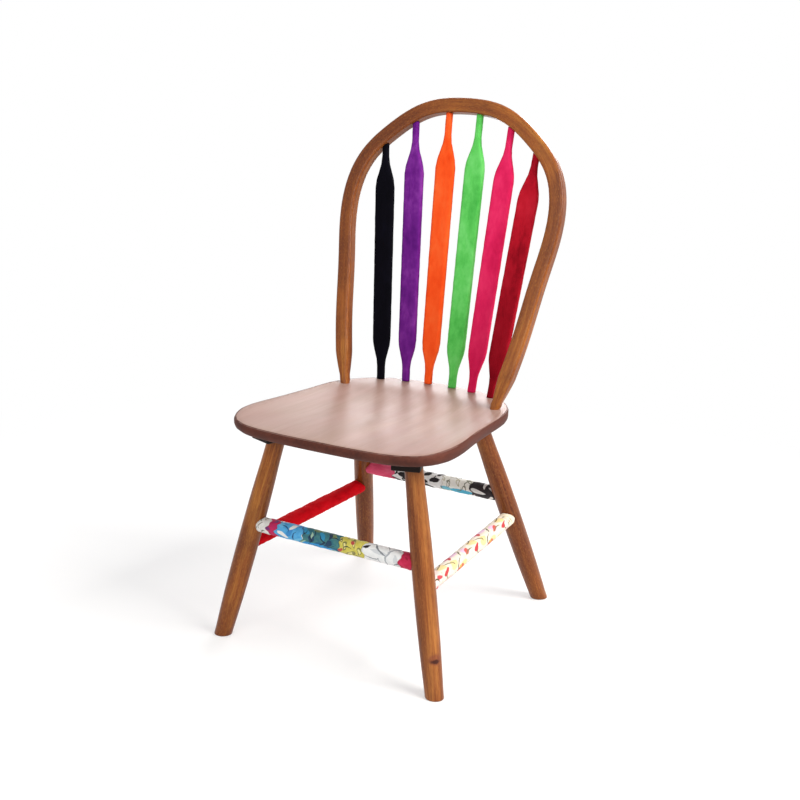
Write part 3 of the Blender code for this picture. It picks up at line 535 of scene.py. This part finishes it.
# the same curve with even steps
def evenly(line, count):
    reach = [0.0]
    for a, b in zip(line, line[1:]):
        reach.append(reach[-1] + (b - a).length)
    made, k = [], 0
    for step in range(count):
        want = reach[-1] * step / (count - 1)
        while k < len(line) - 2 and reach[k + 1] < want:
            k += 1
        made.append(line[k].lerp(line[k + 1], (want - reach[k]) / max(reach[k + 1] - reach[k], 1e-9)))
    return made, reach[-1]


def bendBow():
    skin = treeOf("bow")
    back = Vector((0, cos(bowFacts["lean"]), -sin(bowFacts["lean"])))
    path, length = evenly(bowCentreLine(skin, back), bowFacts["stations"])
    for _ in range(3):
        eased = [(a + b * 2 + c) / 4 for a, b, c in zip(path, path[1:], path[2:])]
        path = [path[0]] + eased + [path[-1]]
    last = len(path) - 1
    around = bowFacts["around"]
    turns = [2 * pi * j / around for j in range(around)]
    radii, ways = [], []
    for k, centre in enumerate(path):
        run = (path[min(k + 1, last)] - path[max(k - 1, 0)]).normalized()
        out = back.cross(run).normalized()
        ways.append([out * cos(turn) + back * sin(turn) for turn in turns])
        row = []
        for way in ways[k]:
            hit = skin.ray_cast(centre + way * bowFacts["overSkin"], -way, bowFacts["search"])[0]
            row.append((hit - centre).dot(way) if hit else None)
        radii.append(row)
    bm, rings = pullTube(around, len(path))
    spots = {}
    for k, ring in enumerate(rings):
        rows = radii[max(k - 3, 0):k + 4]
        for j, vert in enumerate(ring):
            near = sorted(row[j] for row in rows if row[j] is not None)
            radius = near[len(near) // 2]
            vert.co = path[k] + ways[k][j] * radius
            spots[vert] = Vector((cos(turns[j]) * radius, sin(turns[j]) * radius, length * k / last))
    layGrain(bm, spots)
    capEnds(bm, rings)
    finishPiece("bent_bow", bm, woodFinish("stain bow", brownStain, "stick"), "bow")


bendBow()
print("bow bent")

# levels are shares of the edge's height, inward are shares of the distance from the middle to the edge
seatFacts = {
    "around": 132,
    "levels": (0.0, 0.10, 0.24, 0.40, 0.55, 0.68, 0.79, 0.87, 0.93, 0.97),
    "inward": (0.992, 0.982, 0.968, 0.95, 0.925, 0.895, 0.86, 0.82, 0.775, 0.73, 0.68, 0.63, 0.58, 0.53,
               0.48, 0.43, 0.38, 0.33, 0.28, 0.23, 0.18, 0.13, 0.08, 0.03),
    "outside": 0.5, "above": 0.05, "probe": 0.010, "holeStep": 0.0065, "holeDepth": 0.010,
    "rimShare": 0.965, "goodShare": 0.85, "hubShare": 0.02, "easing": 6, "sharp": radians(50),
}


# height of the top, where a spot that falls into a mortise takes the height round it
def seatTop(skin, x, y, highest):
    probe = seatFacts["probe"]
    spots = [(x, y)] + [(x + probe * cos(t * pi / 4), y + probe * sin(t * pi / 4)) for t in range(8)]
    found = []
    for sx, sy in spots:
        hit = skin.ray_cast(Vector((sx, sy, highest + seatFacts["above"])), Vector((0, 0, -1)))[0]
        found.append(hit.z if hit else None)
    here, rest = found[0], sorted(z for z in found[1:] if z is not None)
    if here is not None:
        shallow = here >= highest - seatFacts["holeDepth"]
        if shallow or not rest or here >= rest[-1] - seatFacts["holeStep"]:
            return here
    return rest[len(rest) // 2] if rest else highest


def carveSeat():
    skin = treeOf("seat")
    low, high = (Vector(c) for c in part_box("seat"))
    hub = Vector((0, (low.y + high.y) / 2, 0))
    belly = Vector((0, 0, low.z + (high.z - low.z) * 0.5))
    around, levels, inward = seatFacts["around"], seatFacts["levels"], seatFacts["inward"]
    bm, rings = pullTube(around, 1 + len(levels) + len(inward))
    for j in range(around):
        turn = 2 * pi * j / around
        way = Vector((cos(turn), sin(turn), 0))
        far = way * seatFacts["outside"]
        widest = (skin.ray_cast(hub + belly + far, -way)[0] - hub - belly).length
        edge = hub + way * widest * seatFacts["rimShare"]
        rim = seatTop(skin, edge.x, edge.y, high.z)
        side = []
        for share in levels:
            level = min(max(low.z + (rim - low.z) * share, low.z + 0.0002), rim - 0.0003)
            hit = skin.ray_cast(hub + Vector((0, 0, level)) + far, -way)[0]
            good = hit and (hit - hub).xy.length > widest * seatFacts["goodShare"]
            side.append(hit if good else None)
        lastGood = next(p for p in side[::-1] if p)
        side = [p or lastGood for p in side]
        foot = Vector((side[0].x, side[0].y, low.z))
        rings[0][j].co = hub + (foot - hub) * seatFacts["hubShare"]
        rings[0][j].co.z = low.z
        for k, point in enumerate(side, start=1):
            rings[k][j].co = point
        for k, share in enumerate(inward, start=1 + len(levels)):
            spot = hub + way * widest * share
            spot.z = seatTop(skin, spot.x, spot.y, high.z)
            rings[k][j].co = spot
    capEnds(bm, rings)
    soft = [v for ring in rings[2 + len(levels):] for v in ring]
    for _ in range(seatFacts["easing"]):
        bmesh.ops.smooth_vert(bm, verts=soft, factor=0.5, use_axis_x=False, use_axis_y=False, use_axis_z=True)
    layer = bm.verts.layers.float["rim"]
    for k, ring in enumerate(rings):
        inside = k - len(levels)
        for vert in ring:  # full on the edge, and gone two rings in from it
            vert[layer] = 1.0 if inside <= 0 else max(0.0, 0.8 - 0.4 * inside)
    finish = woodFinish("seat lacquer", seatStainAndGlare)
    made = finishPiece("carved_seat", bm, finish, "seat")
    made.data.set_sharp_from_angle(angle=seatFacts["sharp"])


carveSeat()
print("seat carved")

# each noise has its cells to the metre round and along the stick, then its detail and roughness
velvetFacts = {
    "rough": 0.85, "sheenRough": 0.35, "gloss": 0.06, "brushed": ((95, 44, 1), 4.0, 0.6),
    "broad": ((26, 12, 1), 1.0), "pile": ((1500, 1100, 1), 2.0), "pileShare": 0.18,
    # the painted shade at a sleeve's foot runs from full to none between these heights up the sleeve, in
    # metres
    "footShade": (0.02, 0.34), "bump": 0.25, "relief": 0.0005,
}


def velvetFinish(name, look):
    made, tree, shader = startFinish(name, velvetFacts["rough"], **{
        "Sheen Weight": look["sheen"], "Sheen Roughness": velvetFacts["sheenRough"],
        "Sheen Tint": (*look["pile"], 1.0), "Specular IOR Level": velvetFacts["gloss"],
    })
    spot = put(tree, "ShaderNodeUVMap", uv_map="clothMap").outputs["UV"]
    brushed = cloudy(tree, spot, *velvetFacts["brushed"], shift=(look["shift"], 0, 0))
    broad = cloudy(tree, spot, *velvetFacts["broad"], shift=(0, look["shift"], 0))
    pile = cloudy(tree, spot, *velvetFacts["pile"])
    tone = sums(tree, "MULTIPLY_ADD", brushed, 0.5, sums(tree, "MULTIPLY", broad, 0.5))
    colour = ramp(tree, tone, look["tones"])
    nap = spread(tree, pile, 0.35, 0.75, 0.0, velvetFacts["pileShare"])
    colour = blendColour(tree, nap, colour, look["dark"])
    along = put(tree, "ShaderNodeSeparateXYZ", {"Vector": spot}).outputs[1]
    footShade = spread(tree, along, *velvetFacts["footShade"], look["footShade"], 0.0)  # painted shade, darker towards the foot
    colour = blendColour(tree, footShade, colour, look["dark"])
    tree.links.new(colour, shader.inputs["Base Color"])
    height = sums(tree, "MULTIPLY_ADD", brushed, 0.4, sums(tree, "MULTIPLY", pile, 0.5))
    bumpUp(tree, shader, height, velvetFacts["bump"], velvetFacts["relief"])
    return made


def velvetLook(dark, middle, light, pile, sheen, shift, footShade=0.0):
    return {
        "tones": ((0.26, dark), (0.5, middle), (0.74, light)),
        "dark": dark, "pile": pile, "sheen": sheen, "shift": shift, "footShade": footShade,
    }


# in the order of the slats, 1 to 6
velvets = {
    "black": velvetLook(
        rgb(2, 2, 6), rgb(6, 5, 13), rgb(12, 11, 24), rgb(90, 80, 120), sheen=0.01, shift=1.0,
    ),
    "purple": velvetLook(
        rgb(74, 10, 104), rgb(112, 34, 138), rgb(150, 66, 172), rgb(190, 120, 220), sheen=0.04, shift=2.0,
    ),
    "orange": velvetLook(
        rgb(242, 68, 18), rgb(255, 92, 36), rgb(255, 112, 54), rgb(255, 180, 130), sheen=0.03, shift=3.0,
    ),
    "green": velvetLook(
        rgb(64, 176, 68), rgb(100, 210, 98), rgb(132, 230, 130), rgb(200, 255, 190), sheen=0.04, shift=4.0,
    ),
    # the pink and crimson sleeves get painted shade towards their feet
    "pink": velvetLook(
        rgb(206, 20, 76), rgb(232, 40, 98), rgb(248, 62, 116), rgb(255, 150, 180),
        sheen=0.03, shift=5.0, footShade=0.35,
    ),
    "crimson": velvetLook(
        rgb(108, 3, 18), rgb(190, 22, 42), rgb(208, 36, 56), rgb(230, 90, 100),
        sheen=0.03, shift=11.0, footShade=0.75,
    ),
}
# seam gives the ridge's height by steps from its middle
sleeveFacts = {
    "around": 56, "rings": 150, "flatness": 2.3, "cloth": 0.0010, "wrinkle": 0.00035, "clear": 0.0004,
    "seam": {0: 0.0007, 1: 0.0003}, "nearSkin": 0.0052, "endMargin": 0.0025, "overSkin": 0.04,
    "neck": 0.0055,
}


# distance to what stands in the way along the stick
def endsAlong(tree, start, axis, fallback):
    hit = tree.ray_cast(start, axis, fallback * 2)[0]
    return (hit - start).dot(axis) if hit else fallback


def thicken(made, cloth):
    shell = made.modifiers.new("cloth", "SOLIDIFY")
    shell.thickness = cloth
    shell.offset = -1.0


def girthOf(ring):
    return sum((ring[j].co - ring[j - 1].co).length for j in range(len(ring)))


def sewSleeve(number, colourName):
    node, core = "slat_sleeve_" + colourName, "slat_core_%d" % number
    low, high = stickAxis(core, Vector((0, 0.2, 1)).normalized())
    axis = (high - low).normalized()
    through, across = crossways(axis, Vector((0, 1, 0)))
    skin, ends = treeOf(node), treeOf("seat", "bow")
    middle = low.lerp(high, 0.5)
    half = (high - low).length / 2
    around, count = sleeveFacts["around"], sleeveFacts["rings"]
    ways, reach = [], []
    for j in range(around):
        turn = 2 * pi * j / around
        way = (through * cos(turn) + across * sin(turn) * sleeveFacts["flatness"]).normalized()
        start = middle + way * sleeveFacts["nearSkin"]
        up = endsAlong(ends, start, axis, half) - sleeveFacts["clear"]
        down = endsAlong(ends, start, -axis, half) - sleeveFacts["clear"]
        ways.append(way)
        reach.append((-down, up))
    bm, rings = pullTube(around, count)
    lengths, girths = [], []
    for k, ring in enumerate(rings):
        share = k / (count - 1)
        for j, vert in enumerate(ring):
            down, up = reach[j]
            along = down + (up - down) * share
            probe = min(max(along, down + sleeveFacts["endMargin"]), up - sleeveFacts["endMargin"])
            centre = middle + axis * probe
            hit = skin.ray_cast(centre + ways[j] * sleeveFacts["overSkin"], -ways[j])[0]
            radius = (hit - centre).dot(ways[j]) if hit else sleeveFacts["neck"]
            fold = noise.noise(Vector((ways[j].x * 6 + number, ways[j].y * 6, along * 60)))
            fold += 0.6 * noise.noise(Vector((ways[j].x * 14, number, along * 160)))  # finer creases
            radius += sleeveFacts["wrinkle"] * (fold - 0.6)
            radius += sleeveFacts["seam"].get(min(j, around - j), 0.0)  # sewn up the back
            vert.co = middle + axis * along + ways[j] * radius
        girths.append(girthOf(ring))
        lengths.append(reach[0][0] + (reach[0][1] - reach[0][0]) * share + half)
    layUv(bm, rings, lengths, girths)
    finish = velvetFinish("velvet " + colourName, velvets[colourName])
    made = finishPiece("velvet_sleeve_" + colourName, bm, finish, node)
    thicken(made, sleeveFacts["cloth"])


for slatNumber, velvetName in enumerate(velvets, start=1):
    sewSleeve(slatNumber, velvetName)
print("sleeves sewn")

# weave is in radians to the metre, width in millimetres, and edge is where a shape's outline fades in
printFacts = {
    "rough": 0.8, "sheen": 0.08, "gloss": 0.25, "weave": 3800.0, "creases": (60, 190, 1), "bump": 0.25,
    "relief": 0.0012, "mottle": ((90, 90, 1), 2.0), "threadTone": rgb(90, 84, 78), "threadShare": 0.10,
    "width": 88, "wobble": 0.0024, "wobbleCells": 260.0, "inner": 0.62, "edge": (1.08, 0.92),
    "bend": 3.2, "taper": (0.75, 1.6),
}


def weaveBump(tree, shader, uv):
    split = put(tree, "ShaderNodeSeparateXYZ", {"Vector": uv})
    warp = sums(tree, "SINE", sums(tree, "MULTIPLY", split.outputs[0], printFacts["weave"]))
    weft = sums(tree, "SINE", sums(tree, "MULTIPLY", split.outputs[1], printFacts["weave"]))
    threads = sums(tree, "MULTIPLY", warp, weft)
    crease = cloudy(tree, uv, printFacts["creases"], turn=(0, 0, 0.5))
    height = sums(tree, "MULTIPLY_ADD", threads, 0.12, sums(tree, "MULTIPLY", crease, 1.6))
    bumpUp(tree, shader, height, printFacts["bump"], printFacts["relief"])
    return threads


# 1 inside a printed shape: blot, petal (round at one end), leaf (pointed at both) or bent stroke
def motifMask(tree, uv, motif):
    local = put(tree, "ShaderNodeMapping", {
        "Vector": uv, "Location": (*motif["at"], 0), "Rotation": (0, 0, radians(motif["turn"])),
        "Scale": (*motif["size"], 1),
    }, vector_type="TEXTURE").outputs["Vector"]
    split = put(tree, "ShaderNodeSeparateXYZ", {"Vector": local})
    x, y = split.outputs[0], split.outputs[1]
    if motif["kind"] == "stroke":
        y = sums(tree, "MULTIPLY_ADD", sums(tree, "MULTIPLY_ADD", x, x, -0.5), printFacts["bend"], y)
    elif motif["kind"] == "petal":
        y = sums(tree, "MULTIPLY", y, sums(tree, "MULTIPLY_ADD", x, *printFacts["taper"]))
    height = sums(tree, "ABSOLUTE", y) if motif["kind"] == "leaf" else sums(tree, "MULTIPLY", y, y)
    return spread(tree, sums(tree, "MULTIPLY_ADD", x, x, height), *printFacts["edge"])


# paints the shapes in turn over the ground, with edges a little uneven as a cheap print has
def printMotifs(tree, uv, colour, look):
    if "repeat" in look:  # the print starts again after this length of cloth
        split = put(tree, "ShaderNodeSeparateXYZ", {"Vector": uv})
        along = sums(tree, "DIVIDE", split.outputs[1], look["stretch"])
        along = sums(tree, "WRAP", along, look["repeat"], 0.0)
        uv = put(tree, "ShaderNodeCombineXYZ", {0: split.outputs[0], 1: along}).outputs[0]
    sockets = {"Vector": uv, "Scale": printFacts["wobbleCells"], "Detail": 2.0}
    drift = put(tree, "ShaderNodeTexNoise", sockets).outputs["Color"]
    moved = vectorSums(tree, "SUBTRACT", drift, (0.5, 0.5, 0.5))
    moved = vectorSums(tree, "MULTIPLY", moved, (printFacts["wobble"],) * 3)
    moved = vectorSums(tree, "ADD", moved, uv)
    for motif in look["motifs"]:
        mask = motifMask(tree, moved, motif)
        paint = motif["colour"]
        if motif["inner"]:
            smaller = dict(motif, size=[s * printFacts["inner"] for s in motif["size"]])
            paint = blendColour(tree, motifMask(tree, moved, smaller), paint, motif["inner"])
        colour = blendColour(tree, mask, colour, paint)
    return colour


def printedCloth(name, look):
    made, tree, shader = startFinish(name, printFacts["rough"], **{
        "Sheen Weight": printFacts["sheen"], "Specular IOR Level": printFacts["gloss"],
    })
    uv = put(tree, "ShaderNodeUVMap", uv_map="clothMap").outputs["UV"]
    patch = spread(tree, cloudy(tree, uv, *printFacts["mottle"]), 0.35, 0.7)
    colour = blendColour(tree, patch, look["ground"][0], look["ground"][1])
    colour = printMotifs(tree, uv, colour, look)
    between = spread(tree, weaveBump(tree, shader, uv), -1.0, 1.0, 0.0, printFacts["threadShare"])
    colour = blendColour(tree, between, colour, printFacts["threadTone"])
    tree.links.new(colour, shader.inputs["Base Color"])
    return made


# one printed shape, in millimetres and degrees
def mark(kind, across, along, half, wide, turn, colour, inner=None):
    return {
        "kind": kind, "at": (across / 1000, along / 1000), "size": (half / 1000, wide / 1000),
        "turn": turn, "colour": colour, "inner": inner,
    }


# a loose row of one shape, stepped along the cloth and spread over its width by the golden ratio
def scatter(kind, count, start, step, size, colours, spin=137.5, phase=0.0, inner=None):
    row = []
    for k in range(count):
        across = printFacts["width"] * ((k * 0.618 + phase) % 1 - 0.5)
        grown = 0.8 + 0.4 * ((k * 0.37 + phase) % 1)  # up to a fifth larger or smaller
        half, wide = size[0] * grown, size[1] * grown
        turn = spin * k + 90 * phase
        row.append(mark(kind, across, start + step * k, half, wide, turn, colours[k % len(colours)], inner))
    return row


white, darkInk, paleGrey = rgb(244, 243, 240), rgb(30, 26, 30), rgb(176, 180, 186)
coolGrey, twig = rgb(132, 138, 144), rgb(96, 86, 62)
wrapLooks = {
    "front_1_white_print": {
        "ground": (rgb(220, 218, 212), white),
        "motifs": scatter("stroke", 8, 1, 2.4, (8, 1.2), [rgb(112, 100, 84), rgb(104, 118, 96)])
        + scatter("blot", 4, 3, 5, (4, 2.2), [rgb(170, 172, 160)], phase=0.4),
    },
    "front_2_magenta": {
        "ground": (rgb(204, 34, 90), rgb(176, 34, 96)),
        "motifs": scatter("blot", 5, 2, 3.4, (6, 2.6), [rgb(120, 52, 116), rgb(226, 84, 124)], phase=0.2),
    },
    "front_3_sky_print": {
        "ground": (rgb(76, 164, 222), rgb(98, 186, 236)),
        "motifs": scatter("blot", 9, 3, 7, (9, 5), [rgb(60, 142, 208), rgb(112, 194, 238)])
        + scatter("leaf", 8, 4, 8, (11, 3.8), [white], spin=52, phase=0.15)
        + scatter("stroke", 10, 2, 6.5, (9, 1.1), [rgb(34, 78, 128)], spin=80, phase=0.7),
    },
    "front_4_teal_print": {
        "ground": (rgb(44, 108, 126), rgb(76, 134, 130)),
        "motifs": scatter(
            "blot", 16, 1, 4.6, (10, 6),
            [rgb(34, 66, 96), rgb(50, 146, 190), rgb(118, 138, 92), rgb(30, 96, 134)],
        )
        + [mark("blot", -20, 36, 7, 38, 0, rgb(50, 154, 220))]
        + scatter("leaf", 9, 4, 8, (9, 3), [rgb(160, 196, 172), rgb(36, 60, 84)], spin=75, phase=0.3)
        + scatter("stroke", 14, 2, 5.2, (10, 1.1), [rgb(20, 40, 60)], spin=100, phase=0.55),
    },
    "front_5_yellow_floral": {
        "ground": (rgb(208, 196, 78), rgb(230, 220, 116)),
        "motifs": scatter(
            "petal", 13, 1, 3.8, (10, 6), [rgb(128, 126, 70), rgb(150, 142, 84)], inner=rgb(236, 228, 148),
        )
        + scatter("blot", 4, 8, 12, (6, 4), [rgb(196, 82, 76), rgb(96, 100, 96)], phase=0.35)
        + scatter("stroke", 8, 3, 6, (9, 1.1), [rgb(84, 86, 56)], spin=70, phase=0.6),
    },
    "front_6_leaf_print": {
        "ground": (rgb(238, 240, 240), rgb(250, 250, 250)),
        "motifs": scatter("leaf", 5, 22, 12, (20, 4.2), [rgb(216, 219, 222)], spin=17, phase=0.9)
        + scatter("stroke", 11, 12, 6.4, (19, 1.3), [paleGrey, coolGrey], spin=21, phase=0.75)
        + [mark("leaf", 8, 9, 7, 3.4, 60, darkInk), mark("leaf", -26, 30, 7, 3.2, 100, darkInk)],
    },
    "front_7_red_end": {
        "ground": (rgb(192, 26, 68), rgb(216, 48, 92)),
        "motifs": scatter("blot", 4, 3, 5, (5, 3), [rgb(168, 22, 56), rgb(230, 84, 116)], phase=0.3),
    },
    "back_1_rose": {
        "velvet": velvetLook(
            rgb(198, 60, 94), rgb(232, 90, 124), rgb(246, 120, 150), rgb(255, 190, 210),
            sheen=0.06, shift=7.0,
        ),
    },
    "back_2_black_white": {
        "ground": (rgb(236, 236, 234), rgb(250, 250, 250)),
        "motifs": scatter("leaf", 20, 3, 5.4, (15, 6.0), [darkInk], spin=68)
        + scatter("stroke", 16, 5, 6.6, (13, 1.8), [darkInk], spin=110, phase=0.5),
    },
    "back_3_cream_teal": {
        "ground": (rgb(250, 249, 240), rgb(255, 255, 250)),
        "motifs": scatter(
            "petal", 16, 1, 4.4, (10, 6), [rgb(150, 150, 134), rgb(196, 190, 160)], inner=rgb(246, 245, 238),
        )
        + [mark("blot", -15, 46, 7, 24, 0, rgb(88, 190, 222))]
        + [mark("blot", -14, 14, 6, 12, 0, rgb(126, 200, 220))]
        + scatter("stroke", 8, 4, 8, (9, 1.2), [rgb(110, 116, 96)], spin=77, phase=0.3),
    },
    "back_4_dark_petal": {
        "ground": (rgb(44, 38, 42), rgb(60, 54, 58)),
        "motifs": scatter("petal", 9, 3, 7.4, (12, 6), [white], spin=40, phase=0.2),
    },
    "left_1_red_velvet": {
        "velvet": velvetLook(
            rgb(172, 2, 16), rgb(222, 10, 26), rgb(244, 24, 38), rgb(255, 140, 140), sheen=0.02, shift=8.0,
        ),
    },
    "right_1_pink_end": {
        "ground": (rgb(240, 212, 204), rgb(250, 232, 224)),
        "motifs": scatter("petal", 4, 3, 6, (9, 5), [rgb(206, 78, 86)], phase=0.6)
        + scatter("stroke", 5, 2, 4, (9, 1.2), [twig], phase=0.2),
    },
    "right_2_cream_floral": {
        "ground": (rgb(236, 223, 205), rgb(243, 234, 221)),
        "repeat": 0.078, "stretch": 1.7,
        "motifs": scatter(
            "blot", 11, 2, 6.9, (10, 7), [rgb(240, 200, 226), rgb(247, 218, 156), rgb(250, 212, 202)],
        )
        + scatter("petal", 6, 10, 11.2, (8.2, 6.6), [rgb(200, 62, 68), rgb(214, 92, 80)], spin=71, phase=0.45)
        + scatter("stroke", 12, 7, 5.6, (9.5, 1.1), [twig, rgb(120, 122, 84)], spin=83, phase=0.7)
        + scatter("blot", 4, 12, 16, (3.4, 2.6), [rgb(240, 180, 80), rgb(226, 140, 180)], phase=0.1),
    },
    "right_3_cream_end": {
        "ground": (rgb(240, 226, 196), rgb(249, 240, 220)),
        "motifs": scatter("stroke", 6, 1, 3, (9, 1.2), [rgb(110, 108, 76)], phase=0.35)
        + scatter("blot", 3, 4, 6, (5, 3), [rgb(226, 160, 140)], phase=0.8),
    },
}
# lap gives the height of the lapped edge, step by step away from it
wrapFacts = {
    "around": 48, "spacing": 0.0022, "cloth": 0.0012, "fold": 0.0008, "ragged": 0.009, "clear": 0.0005,
    "lap": (0.0008, 0.0008, 0.0007, 0.0005, 0.0003, 0.0001), "nearSkin": 0.0145, "search": 0.02,
    "free": 0.008, "endMargin": 0.0035, "overSkin": 0.03, "radius": 0.0149, "tuck": 0.0006, "tuckRun": 0.0028,
}
# the legs that each stretcher joins, and roughly which way it runs
railLegs = {
    "front": ("front_left", "front_right", (1, 0, 0)),
    "back": ("rear_left", "rear_right", (1, 0, 0)),
    "left": ("front_left", "rear_left", (0, 1, 0)),
    "right": ("front_right", "rear_right", (0, 1, 0)),
}


# how far the cloth runs down and up along each way round, short of the legs
def wrapLimits(legs, ways, axis, middle, half, place):
    limits = []
    for way in ways:
        start = middle + way * wrapFacts["nearSkin"]
        down, up = [endsAlong(legs, start, run, half + wrapFacts["search"]) for run in (-axis, axis)]
        limits.append([-down, up])
    for end, side in ((0, -1), (1, 1)):
        nearest = min(abs(row[end]) for row in limits)
        for row, way in zip(limits, ways):
            if nearest > half + wrapFacts["free"]:  # meets the next cloth, and both follow the same torn line
                torn = noise.noise(way * 1.5 + Vector((0, 0, (place + side * half) * 14)))
                row[end] = side * half + wrapFacts["ragged"] * torn
            else:
                row[end] = side * min(abs(row[end]) - wrapFacts["clear"], half)
    return limits


def windWrap(cloth, look, seed):
    node, side = "wrap_" + cloth, cloth.split("_")[0]
    rail = "stretcher_" + side
    lowLeg, highLeg, rough = railLegs[side]
    low, high = stickAxis(rail, Vector(rough))
    axis = (high - low).normalized()
    through, across = crossways(axis, low.lerp(high, 0.5) - Vector(viewpoint["spot"]))
    if across.z < 0:
        across = -across
    skin, legs = treeOf(node), treeOf("leg_" + lowLeg, "leg_" + highLeg)
    reach = [(p - low).dot(axis) for p in corners(node)]
    least, most = min(reach), max(reach)
    place, half = (least + most) / 2, (most - least) / 2
    middle = low + axis * place
    around = wrapFacts["around"]
    turns = [2 * pi * j / around for j in range(around)]
    ways = [through * cos(turn) - across * sin(turn) for turn in turns]
    limits = wrapLimits(legs, ways, axis, middle, half, place)
    count = max(int((most - least) / wrapFacts["spacing"]) + 1, 8)
    bm, rings = pullTube(around, count)
    lengths, girths = [], []
    for k, ring in enumerate(rings):
        share = k / (count - 1)
        fromEnd = min(share, 1 - share) * (most - least)
        for j, vert in enumerate(ring):
            down, up = limits[j]
            along = down + (up - down) * share
            inside = min(half, abs(down), abs(up)) - wrapFacts["endMargin"]
            centre = middle + axis * min(max(along, -inside), inside)
            hit = skin.ray_cast(centre + ways[j] * wrapFacts["overSkin"], -ways[j])[0]
            radius = (hit - centre).dot(ways[j]) if hit else wrapFacts["radius"]
            x, y = cos(turns[j]), sin(turns[j])
            fold = noise.noise(Vector((x * 1.3, y * 1.3 + seed, along * 70 + turns[j] * 0.8)))
            fold += 0.5 * noise.noise(Vector((x * 3, y * 3 + seed, along * 190)))  # finer creases
            radius += wrapFacts["fold"] * (fold - 0.5)
            if j < len(wrapFacts["lap"]):  # the cloth's edge laps over its start, away from the front
                radius += wrapFacts["lap"][j]
            radius -= wrapFacts["tuck"] * max(0.0, 1 - fromEnd / wrapFacts["tuckRun"]) ** 2
            vert.co = middle + axis * along + ways[j] * radius
        girths.append(girthOf(ring))
        lengths.append(limits[0][0] + (limits[0][1] - limits[0][0]) * share + half)
    layUv(bm, rings, lengths, girths)
    if "velvet" in look:
        finish = velvetFinish("velvet " + cloth, look["velvet"])
    else:
        finish = printedCloth("cloth " + cloth, look)
    made = finishPiece("cloth_" + cloth, bm, finish, node)
    thicken(made, wrapFacts["cloth"])


for wrapNumber, (wrapName, wrapLook) in enumerate(wrapLooks.items()):
    windWrap(wrapName, wrapLook, wrapNumber * 1.7)
print("stretchers wrapped")

steelFacts = {
    "cells": (900, 900, 900), "tones": ((0.3, (0.42, 0.42, 0.43)), (0.7, (0.62, 0.62, 0.63))),
    "rough": (0.28, 0.45),
}


def steelFinish():
    made, tree, shader = startFinish("zinc steel", 0.35, Metallic=1.0)
    grain = cloudy(tree, put(tree, "ShaderNodeTexCoord").outputs["Object"], steelFacts["cells"])
    tree.links.new(ramp(tree, grain, steelFacts["tones"]), shader.inputs["Base Color"])
    tree.links.new(spread(tree, grain, 0.3, 0.7, *steelFacts["rough"]), shader.inputs["Roughness"])
    return made


# finishes of the frame's own pieces that stay, by the start of their names
keptFinishes = {
    "screw_": steelFinish(),
    "block_": woodFinish("block painted shade", shadedBlock),
    "stretcher_": woodFinish("bare rod", dict(bareWood, turn=(0, radians(90), 0))),
    "slat_core_": woodFinish("bare slat", bareWood),
}
for nodeName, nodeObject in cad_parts.items():
    for prefix, keptFinish in keptFinishes.items():
        if nodeName.startswith(prefix):
            for slot in nodeObject.material_slots:
                slot.material = keptFinish
print("frame pieces finished")

# the floor's own glow is weaker near the chair, so that a faint shadow shows
stageFacts = {
    "floor": 9.0, "below": 0.0005, "bounce": 0.7, "near": 0.5, "far": 1.8, "nearGlow": 0.4, "world": 0.4,
}


# 1 for a ray from the camera, straight or by way of shine or glass
def seenRay(tree):
    path = put(tree, "ShaderNodeLightPath")
    seen = sums(tree, "MAXIMUM", path.outputs["Is Camera Ray"], path.outputs["Is Glossy Ray"])
    return sums(tree, "MAXIMUM", seen, path.outputs["Is Transmission Ray"])


def mixOut(tree, share, first, second, outKind):
    mixed = put(tree, "ShaderNodeMixShader", {0: share, 1: first.outputs[0], 2: second.outputs[0]})
    out = next(n for n in tree.nodes if n.type == outKind)
    tree.links.new(mixed.outputs[0], out.inputs["Surface"])


def layFloor():
    bm = bmesh.new()
    below = Matrix.Translation((0, 0, -stageFacts["below"]))
    bmesh.ops.create_grid(bm, x_segments=4, y_segments=4, size=stageFacts["floor"], matrix=below)
    mesh = bpy.data.meshes.new("pale floor")
    bm.to_mesh(mesh)
    bm.free()
    made = bpy.data.objects.new("pale floor", mesh)
    chair.objects.link(made)
    finish, tree, shader = startFinish("pale floor", 0.9, **{"Specular IOR Level": 0.0})
    glow = put(tree, "ShaderNodeEmission", {"Color": (1, 1, 1, 1), "Strength": 1.0})
    away = vectorSums(tree, "LENGTH", put(tree, "ShaderNodeTexCoord").outputs["Object"])
    seen = seenRay(tree)
    tree.links.new(spread(tree, seen, 0.0, 1.0, stageFacts["bounce"], 1.0), shader.inputs["Base Color"])
    far = spread(tree, away, stageFacts["near"], stageFacts["far"], stageFacts["nearGlow"], 1.0, soft=True)
    mixOut(tree, sums(tree, "MULTIPLY", seen, far), shader, glow, "OUTPUT_MATERIAL")
    mesh.materials.append(finish)


def paintWorld():
    world = bpy.data.worlds.new("studio")
    bpy.context.scene.world = world
    world.use_nodes = True
    tree = world.node_tree
    plain = tree.nodes["Background"]
    plain.inputs["Color"].default_value = (1, 1, 1, 1)
    plain.inputs["Strength"].default_value = stageFacts["world"]
    bright = put(tree, "ShaderNodeBackground", {"Color": (1, 1, 1, 1), "Strength": 1.0})
    mixOut(tree, seenRay(tree), plain, bright, "OUTPUT_WORLD")


layFloor()
paintWorld()
print("floor and world laid")
